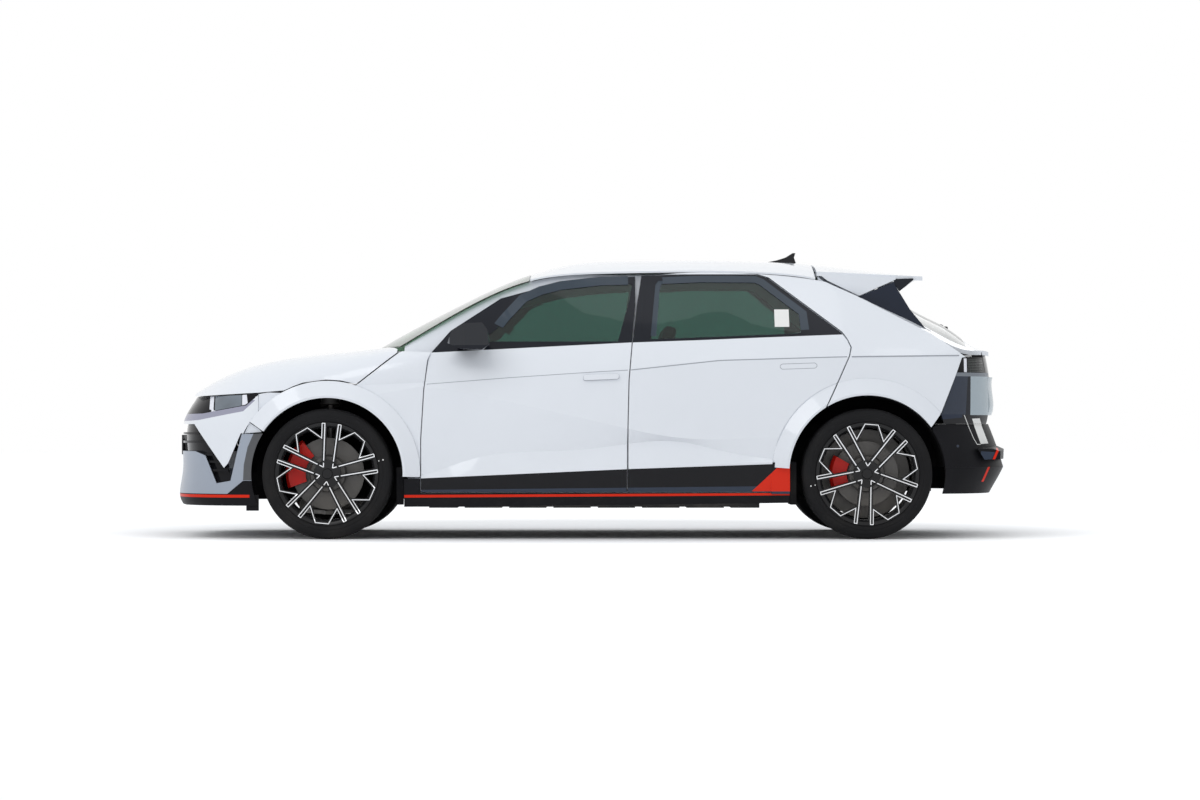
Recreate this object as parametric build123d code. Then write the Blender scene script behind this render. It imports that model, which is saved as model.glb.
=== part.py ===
from build123d import *
import math
import os

os.makedirs("parts", exist_ok=True)

# Electric crossover, five doors. Millimetres, nose towards -X, left side towards -Y, wheels on z = 0.

# ------------------------------------------------------------------ driving sizes
wheelbase = 3000
front_axle_x = -1484
rear_axle_x = front_axle_x + wheelbase
tyre_radius = 363
tyre_width = 275
track = 1635
rim_seat_radius = 267
rim_flange_radius = 286
front_disc_radius = 200
rear_disc_radius = 180
front_arch_radius = 422
rear_arch_radius = 436
flare_width = 95
flare_y = 970
flare_back_y = 903
liner_radius = 442
liner_inner_y = 462
skin = 25
door_depth = 92
wing_thickness = 20
frame_outer = 34
frame_inner = 90
shut_gap = 6
seat_gap = 0.3
roof_thickness = 10
glass_thickness = 5
glass_depth = 3
hinge_y = 850
hinge_heights = (510, 829)
red_line_z = 240
red_line_height = 16
wheel_y = track / 2


# ------------------------------------------------------------------ helpers
def along(curve, x):
    """Value at x of a smooth curve through (x, value) points that never overshoots them."""
    if x <= curve[0][0]:
        return curve[0][1]
    if x >= curve[-1][0]:
        return curve[-1][1]
    slopes = [(b[1] - a[1]) / (b[0] - a[0]) for a, b in zip(curve, curve[1:])]

    def tangent(k):
        if k in (0, len(curve) - 1):
            return slopes[min(k, len(slopes) - 1)]
        left, right = slopes[k - 1], slopes[k]
        return 2 * left * right / (left + right) if left * right > 0 else 0.0

    i = max(k for k in range(len(curve) - 1) if curve[k][0] <= x)
    (xa, va), (xb, vb) = curve[i], curve[i + 1]
    h = xb - xa
    t = (x - xa) / h
    start = (2 * t**3 - 3 * t**2 + 1) * va + (t**3 - 2 * t**2 + t) * h * tangent(i)
    return start + (3 * t**2 - 2 * t**3) * vb + (t**3 - t**2) * h * tangent(i + 1)


def side_prism(outline, y0, y1, grow=0):
    """Side-view outline of (x, z) points, grown by a distance, carried from y0 to y1."""
    wire = Wire.make_polygon([(x, y0, z) for x, z in outline], close=True)
    if grow:
        wire = wire.offset_2d(grow, Kind.INTERSECTION)
    return Solid.extrude(Face(wire), Vector(0, y1 - y0, 0))


def front_prism(outline, x0, x1):
    """Front-view outline of (y, z) points carried from x0 to x1."""
    face = Face(Wire.make_polygon([(x0, y, z) for y, z in outline], close=True))
    return Solid.extrude(face, Vector(x1 - x0, 0, 0))


def plan_prism(outline, z0, z1):
    """Plan outline of (x, y) points carried from z0 to z1."""
    face = Face(Wire.make_polygon([(x, y, z0) for x, y in outline], close=True))
    return Solid.extrude(face, Vector(0, 0, z1 - z0))


def block(x0, x1, y0, y1, z0, z1):
    """Box between its lowest and highest corners."""
    return Solid.make_box(x1 - x0, y1 - y0, z1 - z0, Plane((x0, y0, z0)))


def drum(radius, x, z, y0, y1):
    """Cylinder lying along Y."""
    return Solid.make_cylinder(radius, y1 - y0, Plane(origin=(x, y0, z), z_dir=(0, 1, 0)))


def rod(radius, start, end):
    """Round bar between two points."""
    run = Vector(*end) - Vector(*start)
    return Solid.make_cylinder(radius, run.length, Plane(origin=start, z_dir=run))


def turned(profile, x, z, degrees=360, start=0):
    """Profile of (radius, y) points turned about the wheel axis through (x, z), from angle start upwards."""
    face = Face(Wire.make_polygon([(r, y, 0) for r, y in profile], close=True))
    solid = Solid.revolve(face, degrees, Axis((0, 0, 0), (0, -1, 0)))
    return solid.rotate(Axis.Y, -start).translate((x, 0, z))


def both_sides(solid):
    """The left-hand solid and its right-hand mirror image."""
    return [solid, solid.mirror(Plane.XZ)]


def largest(shape):
    """The largest solid of a cut result."""
    return max(shape.solids(), key=lambda solid: solid.volume)


def write(name, *shapes):
    """Writes the solids of one sub-part to its STEP file."""
    solids = [solid for shape in shapes for solid in shape.solids()]
    export_step(solids[0] if len(solids) == 1 else Compound(solids), f"parts/{name}.step")


# ------------------------------------------------------------------ body side
# Each feature line of the body side has a height and a half-width along x.
line_z = {
    "sill": [(-2250, 230), (-1900, 200), (-1058, 180), (32, 191), (1080, 202), (1900, 230), (2260, 260)],
    "band": [(-2250, 350), (-1056, 337), (32, 385), (181, 390), (1083, 429), (2260, 440)],
    "valley": [(-2250, 420), (-1400, 400), (-937, 365), (-664, 462), (32, 507), (510, 537), (982, 450), (2260, 520)],
    "facet": [(-2250, 640), (-1400, 760), (-945, 840), (-385, 742), (143, 626), (510, 560), (800, 560), (2260, 700)],
    "shoulder": [(-2250, 765), (-2100, 790), (-1850, 812), (-1484, 845), (-945, 872), (-462, 898), (32, 931), (697, 993), (1380, 1015), (2034, 1023), (2260, 1000)],
    "belt": [(-2250, 795), (-2100, 845), (-1850, 900), (-1484, 960), (-1085, 1034), (-525, 1057), (182, 1093), (922, 1121), (1383, 1138), (1884, 1120), (2260, 1030)],
    "rail": [(-2250, 812), (-2100, 885), (-1850, 962), (-1484, 1010), (-1093, 1064), (-830, 1222), (-528, 1379), (-360, 1440), (-100, 1478), (600, 1492), (923, 1485), (1250, 1450), (1500, 1385), (1884, 1185), (2075, 1075), (2260, 1045)],
}
line_y = {
    "sill": [(-2250, 700), (-2050, 860), (-1850, 905), (-1058, 915), (0, 922), (1058, 915), (1900, 900), (2100, 860), (2260, 720)],
    "band": [(-2250, 740), (-2050, 890), (-1850, 930), (-1058, 940), (0, 945), (1058, 940), (1900, 925), (2100, 880), (2260, 740)],
    "valley": [(-2250, 745), (-2050, 890), (-1850, 920), (-1058, 912), (0, 905), (1058, 918), (1900, 925), (2100, 885), (2260, 745)],
    "facet": [(-2250, 750), (-2050, 885), (-1850, 915), (-945, 915), (-385, 935), (143, 942), (510, 930), (1900, 930), (2100, 890), (2260, 750)],
    "shoulder": [(-2250, 740), (-2050, 870), (-1850, 905), (-945, 905), (0, 922), (1058, 925), (1900, 905), (2100, 850), (2260, 720)],
    "belt": [(-2250, 640), (-2050, 760), (-1850, 820), (-1085, 850), (0, 868), (1058, 862), (1900, 800), (2100, 740), (2260, 640)],
    "rail": [(-2250, 560), (-2050, 640), (-1850, 690), (-1085, 745), (-830, 712), (-360, 650), (0, 628), (600, 618), (1250, 610), (1500, 630), (1884, 680), (2100, 690), (2260, 600)],
}
creased_lines = ["sill", "band", "valley", "facet", "shoulder"]
stations = [-2250, -2100, -1950, -1700, -1400, -1085, -830, -528, -360, 0, 510, 982, 1380, 1700, 1950, 2100, 2260]
window_bulge = 18


def on_side(name, x, depth):
    """Point of a feature line on the left side, this deep under the outer surface."""
    return (x, depth - along(line_y[name], x), along(line_z[name], x))


def side_curve(x, depth, upper):
    """Edges of the body side's section at x, from the sill up, with its first and last points."""
    points = [on_side(name, x, depth) for name in creased_lines]
    edges = [Edge.make_line(a, b) for a, b in zip(points, points[1:])]
    if not upper:
        return edges, points[0], points[-1]
    belt = on_side("belt", x, depth)
    rail = on_side("rail", x, depth)
    middle = (x, 0.45 * belt[1] + 0.55 * rail[1] - window_bulge, (belt[2] + rail[2]) / 2)
    edges.append(Edge.make_spline([points[-1], belt, middle, rail]))
    return edges, points[0], rail


def side_section(x, outer, inner, upper):
    """Closed section of the body side between two depths."""
    out_edges, out_low, out_high = side_curve(x, outer, upper)
    in_edges, in_low, in_high = side_curve(x, inner, upper)
    return Wire(out_edges + [Edge.make_line(out_high, in_high)] + in_edges + [Edge.make_line(in_low, out_low)])


def side_sheet(outer, inner, start, end, upper=True):
    """Left body side between two depths, over the stations around start to end."""
    first = max(i for i, x in enumerate(stations) if x <= start)
    last = min(i for i, x in enumerate(stations) if x >= end)
    return Solid.make_loft([side_section(x, outer, inner, upper) for x in stations[first:last + 1]])


# Side-view outlines of the panels, (x, z).
b_line = [(179, 262), (182, 551), (190, 885), (207, 1079), (232, 1329), (252, 1472)]
b_line_rear = [(185, 262), (188, 551), (196, 885), (213, 1079), (242, 1329), (266, 1476)]
front_door_front = [(-201, 1434), (-525, 1345), (-804, 1161), (-904, 1043), (-923, 995), (-945, 829), (-962, 551), (-962, 262)]
front_door_outline = b_line + [(32, 1461)] + front_door_front
rear_door_top = [(589, 1479), (923, 1477), (979, 1459), (1374, 1150), (1390, 1131), (1408, 1106), (1425, 1067), (1414, 1018)]
rear_door_outline = b_line_rear + rear_door_top + [(1345, 862), (1283, 733), (1300, 400), (1300, 262)]
belt_front = [(-1000, 1033), (-525, 1057), (-191, 1074), (230, 1095)]
belt_rear = [(190, 1093), (588, 1107), (922, 1121), (1440, 1141)]
front_opening = [(-637, 1100), (-553, 1164), (-414, 1328), (-191, 1403), (32, 1431), (171, 1437), (212, 1424), (196, 1331), (132, 1100)]
rear_opening = [(312, 1112), (344, 1425), (362, 1447), (900, 1443), (930, 1427), (1150, 1254), (1150, 1150), (1120, 1144)]


def above(line, top=1700):
    """Closed outline of everything above a line."""
    return line + [(line[-1][0], top), (line[0][0], top)]


def below(line, bottom=-100):
    """Closed outline of everything below a line."""
    return line + [(line[-1][0], bottom), (line[0][0], bottom)]


def band_top(x0, x1, shift=0):
    """Top line of the black lower band between two places."""
    return [(x0, along(line_z["band"], x0) + shift), (x1, along(line_z["band"], x1) + shift)]


def far_left(outline, grow=0):
    """Left-hand cutting prism for a side-view outline."""
    return side_prism(outline, -1250, -300, grow)



# ------------------------------------------------------------------ side panels
rear_flare_radius = rear_arch_radius + flare_width
front_flare_radius = front_arch_radius + flare_width
wing_top = [(-1862, 806), (-1724, 817), (-1622, 862), (-1494, 877), (-1324, 854), (-1085, 1040), (-1070, 1046)]
wing_outline = wing_top + [(-910, 1040), (-929, 995), (-951, 829), (-968, 551), (-968, 341), (-1100, 335), (-1500, 500), (-1875, 700)]

def flare(centre_x, radius, outer, first, last):
    """Arch moulding that stands proud round a left wheel opening, between two angles."""
    profile = [
        (radius, -flare_back_y), (radius, -flare_y + 4), (radius + 12, -flare_y),
        (outer - seat_gap, -924), (outer - seat_gap, -flare_back_y),
    ]
    return turned(profile, centre_x, tyre_radius, last - first, first)


def door(outline, sheets, arch_cut, belt_line, window, hinge_line):
    """Left door: white panel with its inner box, window frame and lower cladding."""
    panel_skin, trim_skin, inner_box = sheets
    hull = far_left(outline)
    box_cut = side_prism(outline, -1250, -300, -52)
    x0, x1 = min(x for x, z in outline), max(x for x, z in outline)
    band = band_top(x0 - 20, x1 + 20)
    panel_zone = far_left(below(belt_line)) - far_left(below(band))
    trimmed = trim_skin & hull
    panel = panel_skin & hull & panel_zone
    if arch_cut:
        trimmed = largest(trimmed - arch_cut)
        panel = panel - arch_cut
    box = inner_box & box_cut & far_left(below([(x, z - 30) for x, z in belt_line]))
    if arch_cut:
        box = box - drum(rear_flare_radius + 30, rear_axle_x, tyre_radius, -1250, -300)
    leaves = [
        block(hinge_line(z) + 38 + 2 * seat_gap, hinge_line(z) + 66, -hinge_y - 26, -hinge_y + 10, z - 40, z) for z in hinge_heights
    ]
    panel = largest(largest(panel).fuse(largest(box), *leaves))
    frame = largest(trimmed & far_left(above([(x, z + seat_gap) for x, z in belt_line])))
    frame = largest(frame - far_left(window))
    cladding = largest(trimmed & far_left(below([(x, z - seat_gap) for x, z in band])))
    return panel, frame, cladding


def front_hinge_x(z):
    """Shut line ahead of the front door at height z."""
    return -962 + 17 * max(0, z - 551) / 278


def rear_hinge_x(z):
    """Shut line ahead of the rear door at height z."""
    return 188 + 8 * max(0, z - 551) / 334


def glass_pane(window):
    """Side pane that fills a window opening."""
    pane = side_sheet(glass_depth, glass_depth + glass_thickness, -1085, 2100)
    return largest(pane & far_left(window, -seat_gap))


def body_side(outer_skin):
    """Left outer side: windscreen pillar, roof rail and rear quarter in one pressing."""
    low = [(-1085, 1046), (-904, 1046), (-804, 1168), (-525, 1352), (-198, 1441), (252, 1479), (266, 1483), (923, 1484), (983, 1466), (1381, 1156)]
    rear_edge = [(1397, 1136), (1415, 1106), (1432, 1067), (1421, 1018), (1352, 862), (1290, 733), (1500, 500), (1868, 620)]
    tail = [(1921, 690), (2010, 912), (2046, 1010), (2068, 1012), (1890, 1143), (1492, 1352), (1312, 1437), (1268, 1470), (1248, 1600), (-1085, 1600)]
    side = outer_skin & far_left(low + rear_edge + tail)
    return largest(side - drum(rear_flare_radius, rear_axle_x, tyre_radius, -1250, -300))


def side_frame():
    """Left inner frame: hinge pillar, centre pillar, rail and sill with two door openings."""
    sheet = side_sheet(frame_outer, frame_inner, -1085, 2100)
    hull = [(-1052, 205), (1085, 220), (1500, 500), (1855, 630), (1880, 700), (2000, 1000), (1870, 1095), (1492, 1300), (1290, 1412), (1240, 1440), (1230, 1600), (-1090, 1600), (-1052, 900)]
    frame = sheet & far_left(hull)
    frame = frame - side_prism(front_door_outline, -1250, -300, -38)
    frame = frame - side_prism(rear_door_outline, -1250, -300, -38)
    frame = frame - drum(liner_radius + 8, front_axle_x, tyre_radius, -1250, -300)
    return largest(frame - drum(rear_arch_radius + 2, rear_axle_x, tyre_radius, -1250, -300))


def body_frame():
    """Both side frames, tied by the roof's front and rear headers."""
    bows = [
        crowned_sheet(places, lambda x: rail_y(x) - 50, lambda x: rail_z(x) - 3,
                      lambda x: along(centre_z["roof"], x) - roof_thickness - 3 * seat_gap, 18)
        for places in ([-366, -330], [1200, 1248])
    ]
    lip = crowned_sheet([-402, -364], lambda x: rail_y(x) - 4, lambda x: along(screen_edge_z, x) + 1.9,
                        lambda x: along(centre_z["screen"], x) - 6.3, 14)
    lip = largest(lip & block(-500, -300, -560, 560, 1000, 1700))
    sides = both_sides(side_frame())
    return largest(sides[0].fuse(sides[1], *bows, lip))


def wing(outer_skin):
    """Left front wing with its arch moulding."""
    panel = outer_skin & far_left(wing_outline)
    panel = largest(panel - drum(front_flare_radius, front_axle_x, tyre_radius, -1250, -300))
    moulding = flare(front_axle_x, front_arch_radius, front_flare_radius, -2, 146)
    return panel, moulding


def rear_mouldings():
    """Rear arch moulding, split at the door edge into its door part and its quarter part."""
    moulding = flare(rear_axle_x, rear_arch_radius, rear_flare_radius, 20, 176)
    door_side = [(1345, 862), (1283, 733), (1300, 300), (900, 300), (900, 862)]
    quarter_side = [(1352, 862), (1290, 733), (1500, 500), (1864, 618), (1919, 690), (1990, 860), (1600, 1100), (1352, 1000)]
    return largest(moulding & far_left(door_side)), largest(moulding & far_left(quarter_side))


# ------------------------------------------------------------------ roof, bonnet and screens
centre_z = {
    "bonnet": [(-2320, 778), (-2278, 799), (-2186, 866), (-2079, 926), (-1835, 1005), (-1671, 1037), (-1493, 1057), (-1297, 1068), (-1085, 1072)],
    "screen": [(-1300, 1034), (-1240, 1073), (-1101, 1155), (-857, 1282), (-694, 1366), (-531, 1440), (-340, 1514)],
    "roof": [(-380, 1500), (-205, 1549), (-42, 1575), (150, 1583), (487, 1587), (793, 1584), (1004, 1578), (1294, 1557), (1553, 1529), (1861, 1490)],
    "hatch": [(1262, 1522), (1400, 1486), (1560, 1440), (1700, 1385), (1879, 1279), (2008, 1215), (2129, 1124), (2238, 1048)],
}
screen_edge_z = [(-1300, 942), (-1093, 1064), (-830, 1222), (-528, 1379), (-340, 1446)]
hatch_edge_z = [(1262, 1474.5), (1312, 1443), (1492, 1358), (1890, 1149), (2068, 1062), (2180, 1048), (2250, 1044)]


def crowned_section(x, half_width, edge_z, middle_z, thickness):
    """Closed section of a sheet that is crowned across the car."""
    shoulder_z = edge_z + 0.62 * (middle_z - edge_z)

    def arch(drop):
        heights = [edge_z, shoulder_z, middle_z, shoulder_z, edge_z]
        places = [-half_width, -half_width * 0.6, 0, half_width * 0.6, half_width]
        return [(x, y, z - drop) for y, z in zip(places, heights)]

    top, bottom = arch(0), arch(thickness)
    ends = [Edge.make_line(top[-1], bottom[-1]), Edge.make_line(bottom[0], top[0])]
    return Wire([Edge.make_spline(top), ends[0], Edge.make_spline(bottom), ends[1]])


def crowned_sheet(places, width, edge, middle, thickness):
    """Loft of crowned sections; width, edge and middle give a value at each place."""
    return Solid.make_loft([crowned_section(x, width(x), edge(x), middle(x), thickness) for x in places])


def rail_y(x):
    """Half-width of the roof rail line."""
    return along(line_y["rail"], x)


def rail_z(x):
    """Height of the roof rail line."""
    return along(line_z["rail"], x)


def roof():
    """Roof panel, seated on the rails, with its aerial fin."""
    places = [-360, -205, -42, 150, 487, 793, 1004, 1246]
    panel = crowned_sheet(places, lambda x: rail_y(x) - 1, lambda x: rail_z(x) + 13.2,
                          lambda x: along(centre_z["roof"], x), roof_thickness)
    fin_outline = [(1005, 1579), (1060, 1590), (1110, 1606), (1152, 1632), (1168, 1632), (1160, 1605), (1172, 1572)]
    fin = side_prism(fin_outline, -14, 14)
    return panel, largest(fin - panel)


def windscreen():
    """Front screen between the pillars, curved at the cowl."""
    places = [-1300, -1093, -830, -528, -366]
    sheet = crowned_sheet(places, lambda x: rail_y(x) - 4, lambda x: along(screen_edge_z, x) + 8.2,
                          lambda x: along(centre_z["screen"], x), 6)
    cowl = [(-1232 + 147 * (y / 745) ** 2, y) for y in range(-780, 781, 156)]
    return largest(sheet & plan_prism(cowl + [(-300, 780), (-300, -780)], 900, 1600))


def bonnet_section(x):
    """Closed section of the bonnet, wrapped down over both wings."""
    low, belt, rail = [on_side(name, x, 0) for name in ("shoulder", "belt", "rail")]
    middle_z = along(centre_z["bonnet"], x)
    inner_rail_z = 0.4 * rail[2] + 0.6 * middle_z
    half = [low[1:], belt[1:], rail[1:], (-330, inner_rail_z + 6)]
    drops = [(26, 0), (20, -16), (8, -24), (0, -26)]
    outer = half + [(0, middle_z)] + [(-y, z) for y, z in reversed(half)]
    lower = [(y + dy, z + dz) for (y, z), (dy, dz) in zip(half, drops)]
    inner = lower + [(0, middle_z - 26)] + [(-y, z) for y, z in reversed(lower)]
    top = [(x, y, z) for y, z in outer]
    bottom = [(x, y, z) for y, z in inner]
    ends = [Edge.make_line(top[-1], bottom[-1]), Edge.make_line(bottom[0], top[0])]
    return Wire([Edge.make_spline(top), ends[0], Edge.make_spline(bottom), ends[1]])


def bonnet():
    """Clamshell bonnet down to the wing line."""
    sheet = Solid.make_loft([bonnet_section(x) for x in (-2250, -2100, -1950, -1700, -1400, -1085)])
    cut = [(-2300, 796), (-2188, 797), (-1858, 815), (-1724, 827), (-1673, 851), (-1622, 870), (-1494, 887), (-1409, 882), (-1324, 862), (-1100, 1038), (-1100, 1200), (-2300, 1200)]
    panel = sheet & side_prism(cut, -1250, 1250)
    back = [(-1262 + 147 * (y / 745) ** 2, y) for y in range(-1000, 1001, 200)]
    panel = largest(panel & plan_prism(back + [(-2400, 1000), (-2400, -1000)], 700, 1200))
    arms = both_sides(block(-1160, -1106, -738, -712, 1005, 1040))
    return largest(panel.fuse(*arms))


# ------------------------------------------------------------------ nose and tail
nose_x = [(170, -2335), (216, -2361), (300, -2366), (448, -2352), (600, -2352), (640, -2352), (700, -2325), (760, -2292), (800, -2272), (830, -2255)]
tail_x = [(240, 2255), (281, 2270), (342, 2312), (448, 2357), (501, 2362)]
hatch_x = [(680, 2268), (714, 2281), (904, 2279)]


def end_plan(z, face_x, sign, depth, root_x, root_y):
    """Plan curve of a nose or tail at height z, this deep under its surface, left side to right."""
    half = [(root_x, root_y), (face_x - sign * 205, 838), (face_x - sign * 108, 735), (face_x - sign * 42, 590), (face_x - sign * 8, 330)]
    slopes = [(0, 1), (0.5, 0.87), (0.75, 0.66), (0.93, 0.36), (0.99, 0.1)]
    outer = [(x - sign * nx * depth, y - ny * depth) for (x, y), (nx, ny) in zip(half, slopes)]
    points = [(x, -y, z) for x, y in outer] + [(face_x - sign * depth, 0, z)] + [(x, y, z) for x, y in reversed(outer)]
    return Edge.make_spline(points), points[0], points[-1]


def end_section(z, face_x, sign, outer, inner, root_x, root_y):
    """Closed plan section of a nose or tail sheet."""
    out_edge, out_first, out_last = end_plan(z, face_x, sign, outer, root_x, root_y)
    in_edge, in_first, in_last = end_plan(z, face_x, sign, inner, root_x, root_y)
    return Wire([out_edge, Edge.make_line(out_last, in_last), in_edge, Edge.make_line(in_first, out_first)])


def nose_sheet(outer, inner):
    """Front end skin between two depths."""
    levels = [170, 300, 448, 640, 760, 830]
    return Solid.make_loft([
        end_section(z, along(nose_x, z), -1, outer, inner, -1840, 918 if z < 700 else 908) for z in levels
    ])


def tail_sheet(profile, levels, outer, inner, root_x, root_y):
    """Rear end skin between two depths."""
    return Solid.make_loft([
        end_section(z, along(profile, z), 1, outer, inner, root_x, root_y) for z in levels
    ])


def left_and_right(shape, limit):
    """The parts of a shape beyond a distance either side of the centre plane."""
    return [
        largest(shape & block(-3000, 3000, -1300, -limit, 0, 2000)),
        largest(shape & block(-3000, 3000, limit, 1300, 0, 2000)),
    ]


def nose():
    """Lamps, light bar, bumper, mask, grille and splitter of the front end."""
    sheet = nose_sheet(0, 28)
    sheet = sheet - drum(front_flare_radius, front_axle_x, tyre_radius, -1250, -700)
    sheet = sheet - drum(front_flare_radius, front_axle_x, tyre_radius, 700, 1250)
    lamp_zone = [(-2400, 792), (-2188, 793), (-1866, 808), (-1934, 744), (-2188, 699), (-2400, 694)]
    bumper_zone = [(-2400, 693.7), (-2188, 698.7), (-1933.6, 743.6), (-1868, 800), (-1868, 560), (-1963, 590), (-2036, 423), (-2060, 396), (-2240, 640), (-2450, 640)]
    mask_zone = [(-2450, 488), (-2235, 488), (-2171, 464), (-2103, 310), (-2022, 324), (-1985, 480), (-1958, 584), (-1750, 590), (-1750, 325), (-1951, 325), (-2040, 252), (-2450, 252)]
    lamp_sheet = sheet & side_prism(lamp_zone, -1250, 1250)
    lamps = left_and_right(lamp_sheet, 470)
    bar = largest(lamp_sheet & block(-3000, 0, -466, 466, 0, 2000))
    bumper = largest(sheet & side_prism(bumper_zone, -1250, 1250))
    wide = nose_sheet(0, 28)
    wide = wide - drum(front_arch_radius, front_axle_x, tyre_radius, -1250, 1250)
    wide = wide - drum(liner_radius + 6, front_axle_x, tyre_radius, -flare_back_y, flare_back_y)
    mask = largest(wide & side_prism(mask_zone, -1250, 1250))
    splitter = wide & side_prism([(-2450, 251.7), (-2039.8, 251.7), (-1950.8, 324.7), (-1750, 324.7), (-1750, 186), (-2300, 186), (-2450, 205)], -1250, 1250)
    return lamps, bar, bumper, mask, largest(splitter)


def grille():
    """Recessed backing of the lower opening with its level slats."""
    zone = [(-2450, 636), (-2245, 636), (-2066, 392), (-2040, 410), (-2028, 330), (-2100, 318), (-2168, 472), (-2235, 494), (-2450, 494)]
    cut = side_prism(zone, -1250, 1250)
    back = largest(nose_sheet(28 + seat_gap, 42) & side_prism(zone, -1250, 1250, 6))
    body = back
    for z in (540, 588, 470, 430, 382):
        slat = nose_sheet(8, 31) & block(-3000, 0, -1250, 1250, z - 6, z + 6) & cut
        body = body + slat
    return largest(body)


def tail():
    """Lamps, corner panels, bumper and diffuser of the rear end."""
    lamp_sheet = tail_sheet([(915, 2262), (1040, 2236)], [926, 980, 1048], 0, 60, 2010, 868)
    corner_sheet = tail_sheet(hatch_x, [640, 714, 800, 930], 0, 60, 1900, 905)
    bumper_sheet = tail_sheet([(420, 2340), (690, 2235)], [400, 520, 640], 0, 40, 1880, 912)
    diffuser_sheet = tail_sheet(tail_x, [245, 342, 448, 516], 0, 40, 1880, 912)
    lamps = left_and_right(lamp_sheet & side_prism([(2053, 1014), (2020, 927), (2400, 927), (2400, 1014)], -1250, 1250), 640)
    corners = left_and_right(corner_sheet & side_prism([(2014, 914), (1929, 692), (1945, 640.3), (2400, 640.3), (2400, 926.7), (2019, 926.7)], -1250, 1250), 650)
    bumper = bumper_sheet & side_prism([(1750, 640), (1870, 618), (1925, 640), (2400, 640), (2400, 400), (1750, 400)], -1250, 1250)
    bumper = largest(bumper - drum(rear_arch_radius, rear_axle_x, tyre_radius, -1250, 1250))
    bumper = largest(bumper - block(2000, 2500, -300, 300, 530, 700))
    diffuser = diffuser_sheet & side_prism([(1750, 399.7), (2400, 399.7), (2400, 300), (2260, 252), (1750, 252)], -1250, 1250)
    diffuser = largest(diffuser - drum(rear_arch_radius, rear_axle_x, tyre_radius, -1250, 1250))
    return lamps, corners, bumper, diffuser


def tailgate():
    """Tailgate with its screen, spoiler, cheeks, fins, lower panel and lamp bar."""
    places = [1262, 1400, 1560, 1700, 1879, 2008, 2129, 2225]

    def half(x):
        return rail_y(x) - 36

    def edge(x):
        return along(hatch_edge_z, x)

    def middle(x):
        return along(centre_z["hatch"], x)

    opening = [(1600, -520), (2100, -580), (2100, 580), (1600, 520)]
    pane = [(1601, -519.5), (2099, -579.5), (2099, 579.5), (1601, 519.5)]
    frame = crowned_sheet(places, half, edge, middle, 24)
    frame = largest(frame - plan_prism(opening, 800, 1600))
    glass = largest(crowned_sheet(places, half, edge, middle, 6) & plan_prism(pane, 800, 1600))
    def spoiler_sheet(lift, thickness):
        return crowned_sheet([1254, 1400, 1553, 1700, 1853], lambda x: 600 - 0.03 * (x - 1254),
                             lambda x: 1500 - 0.045 * (x - 1254) + lift,
                             lambda x: along(centre_z["roof"], x) + lift, thickness)

    spoiler = spoiler_sheet(0, 24)
    pad = block(1290, 1330, -300, 300, 1496, 1560) - spoiler_sheet(176 - seat_gap, 200)
    cheek = [(1256, 1500), (1274, 1482), (1316, 1449), (1490, 1366), (1500, 1366), (1700, 1455), (1702, 1468), (1254, 1490)]
    cheeks = both_sides(side_prism(cheek, -598, -578))
    fin = [(1500, 1320), (1500, 1362), (1702, 1448), (1698, 1422), (1724, 1381), (1783, 1285), (1886, 1160), (1886, 1100)]
    under = crowned_sheet(places, half, lambda x: edge(x) + seat_gap, lambda x: middle(x) + seat_gap, 200)
    fins = [largest(solid - under) for solid in both_sides(side_prism(fin, -594, -576))]
    straps = [block(1248.3, 1290, y - 25, y + 25, 1476, 1494) for y in (-400, 400)]
    frame = largest(frame.fuse(largest(pad), *straps))
    lower = largest(tail_sheet(hatch_x, [690, 714, 800, 904], 0, 60, 1900, 905) & block(2000, 2500, -640, 640, 690, 904))
    bar = tail_sheet([(915, 2262), (1040, 2236)], [900, 980, 1044], 0, 60, 2010, 868)
    bar = bar & block(2000, 2500, -630, 630, 904.3, 1044)
    room = crowned_sheet(places, half, lambda x: edge(x) + 176, lambda x: middle(x) + 176, 200.3)
    return frame, glass, largest(largest(spoiler).fuse(*cheeks)), fins, lower, largest(bar - room)


# ------------------------------------------------------------------ wheels and brakes
spoke_pairs = 5
spoke_hub_radius = 46
spoke_tip_radius = 281
spoke_tip_angle = 7.7
branch_radius = 189
branch_tip_radius = 276
branch_tip_angle = 7.6
branch_width = 15
spoke_width = 21
spoke_tip_width = 21
bolt_circle_radius = 57.15


def polar(radius, angle):
    """Point (x, z) at a radius and an angle in degrees."""
    return (radius * math.cos(math.radians(angle)), radius * math.sin(math.radians(angle)))


def bar_between(a, b, width, y0, y1):
    """Straight bar seen from the side between two (x, z) points."""
    length = math.hypot(b[0] - a[0], b[1] - a[1])
    nx, nz = -(b[1] - a[1]) / length * width / 2, (b[0] - a[0]) / length * width / 2
    corners = [(a[0] + nx, a[1] + nz), (b[0] + nx, b[1] + nz), (b[0] - nx, b[1] - nz), (a[0] - nx, a[1] - nz)]
    return side_prism(corners, y0, y1)


def flat_shape(*outlines):
    """Union of (x, z) outlines as flat faces in the wheel's plane."""
    faces = [Face(Wire.make_polygon([(x, -160, z) for x, z in outline], close=True)) for outline in outlines]
    return faces[0].fuse(*faces[1:]).faces()


def beside(a, b, distance, at):
    """Point at a or b, moved sideways from the line a to b."""
    length = math.hypot(b[0] - a[0], b[1] - a[1])
    return (at[0] - (b[1] - a[1]) / length * distance, at[1] + (b[0] - a[0]) / length * distance)


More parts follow.
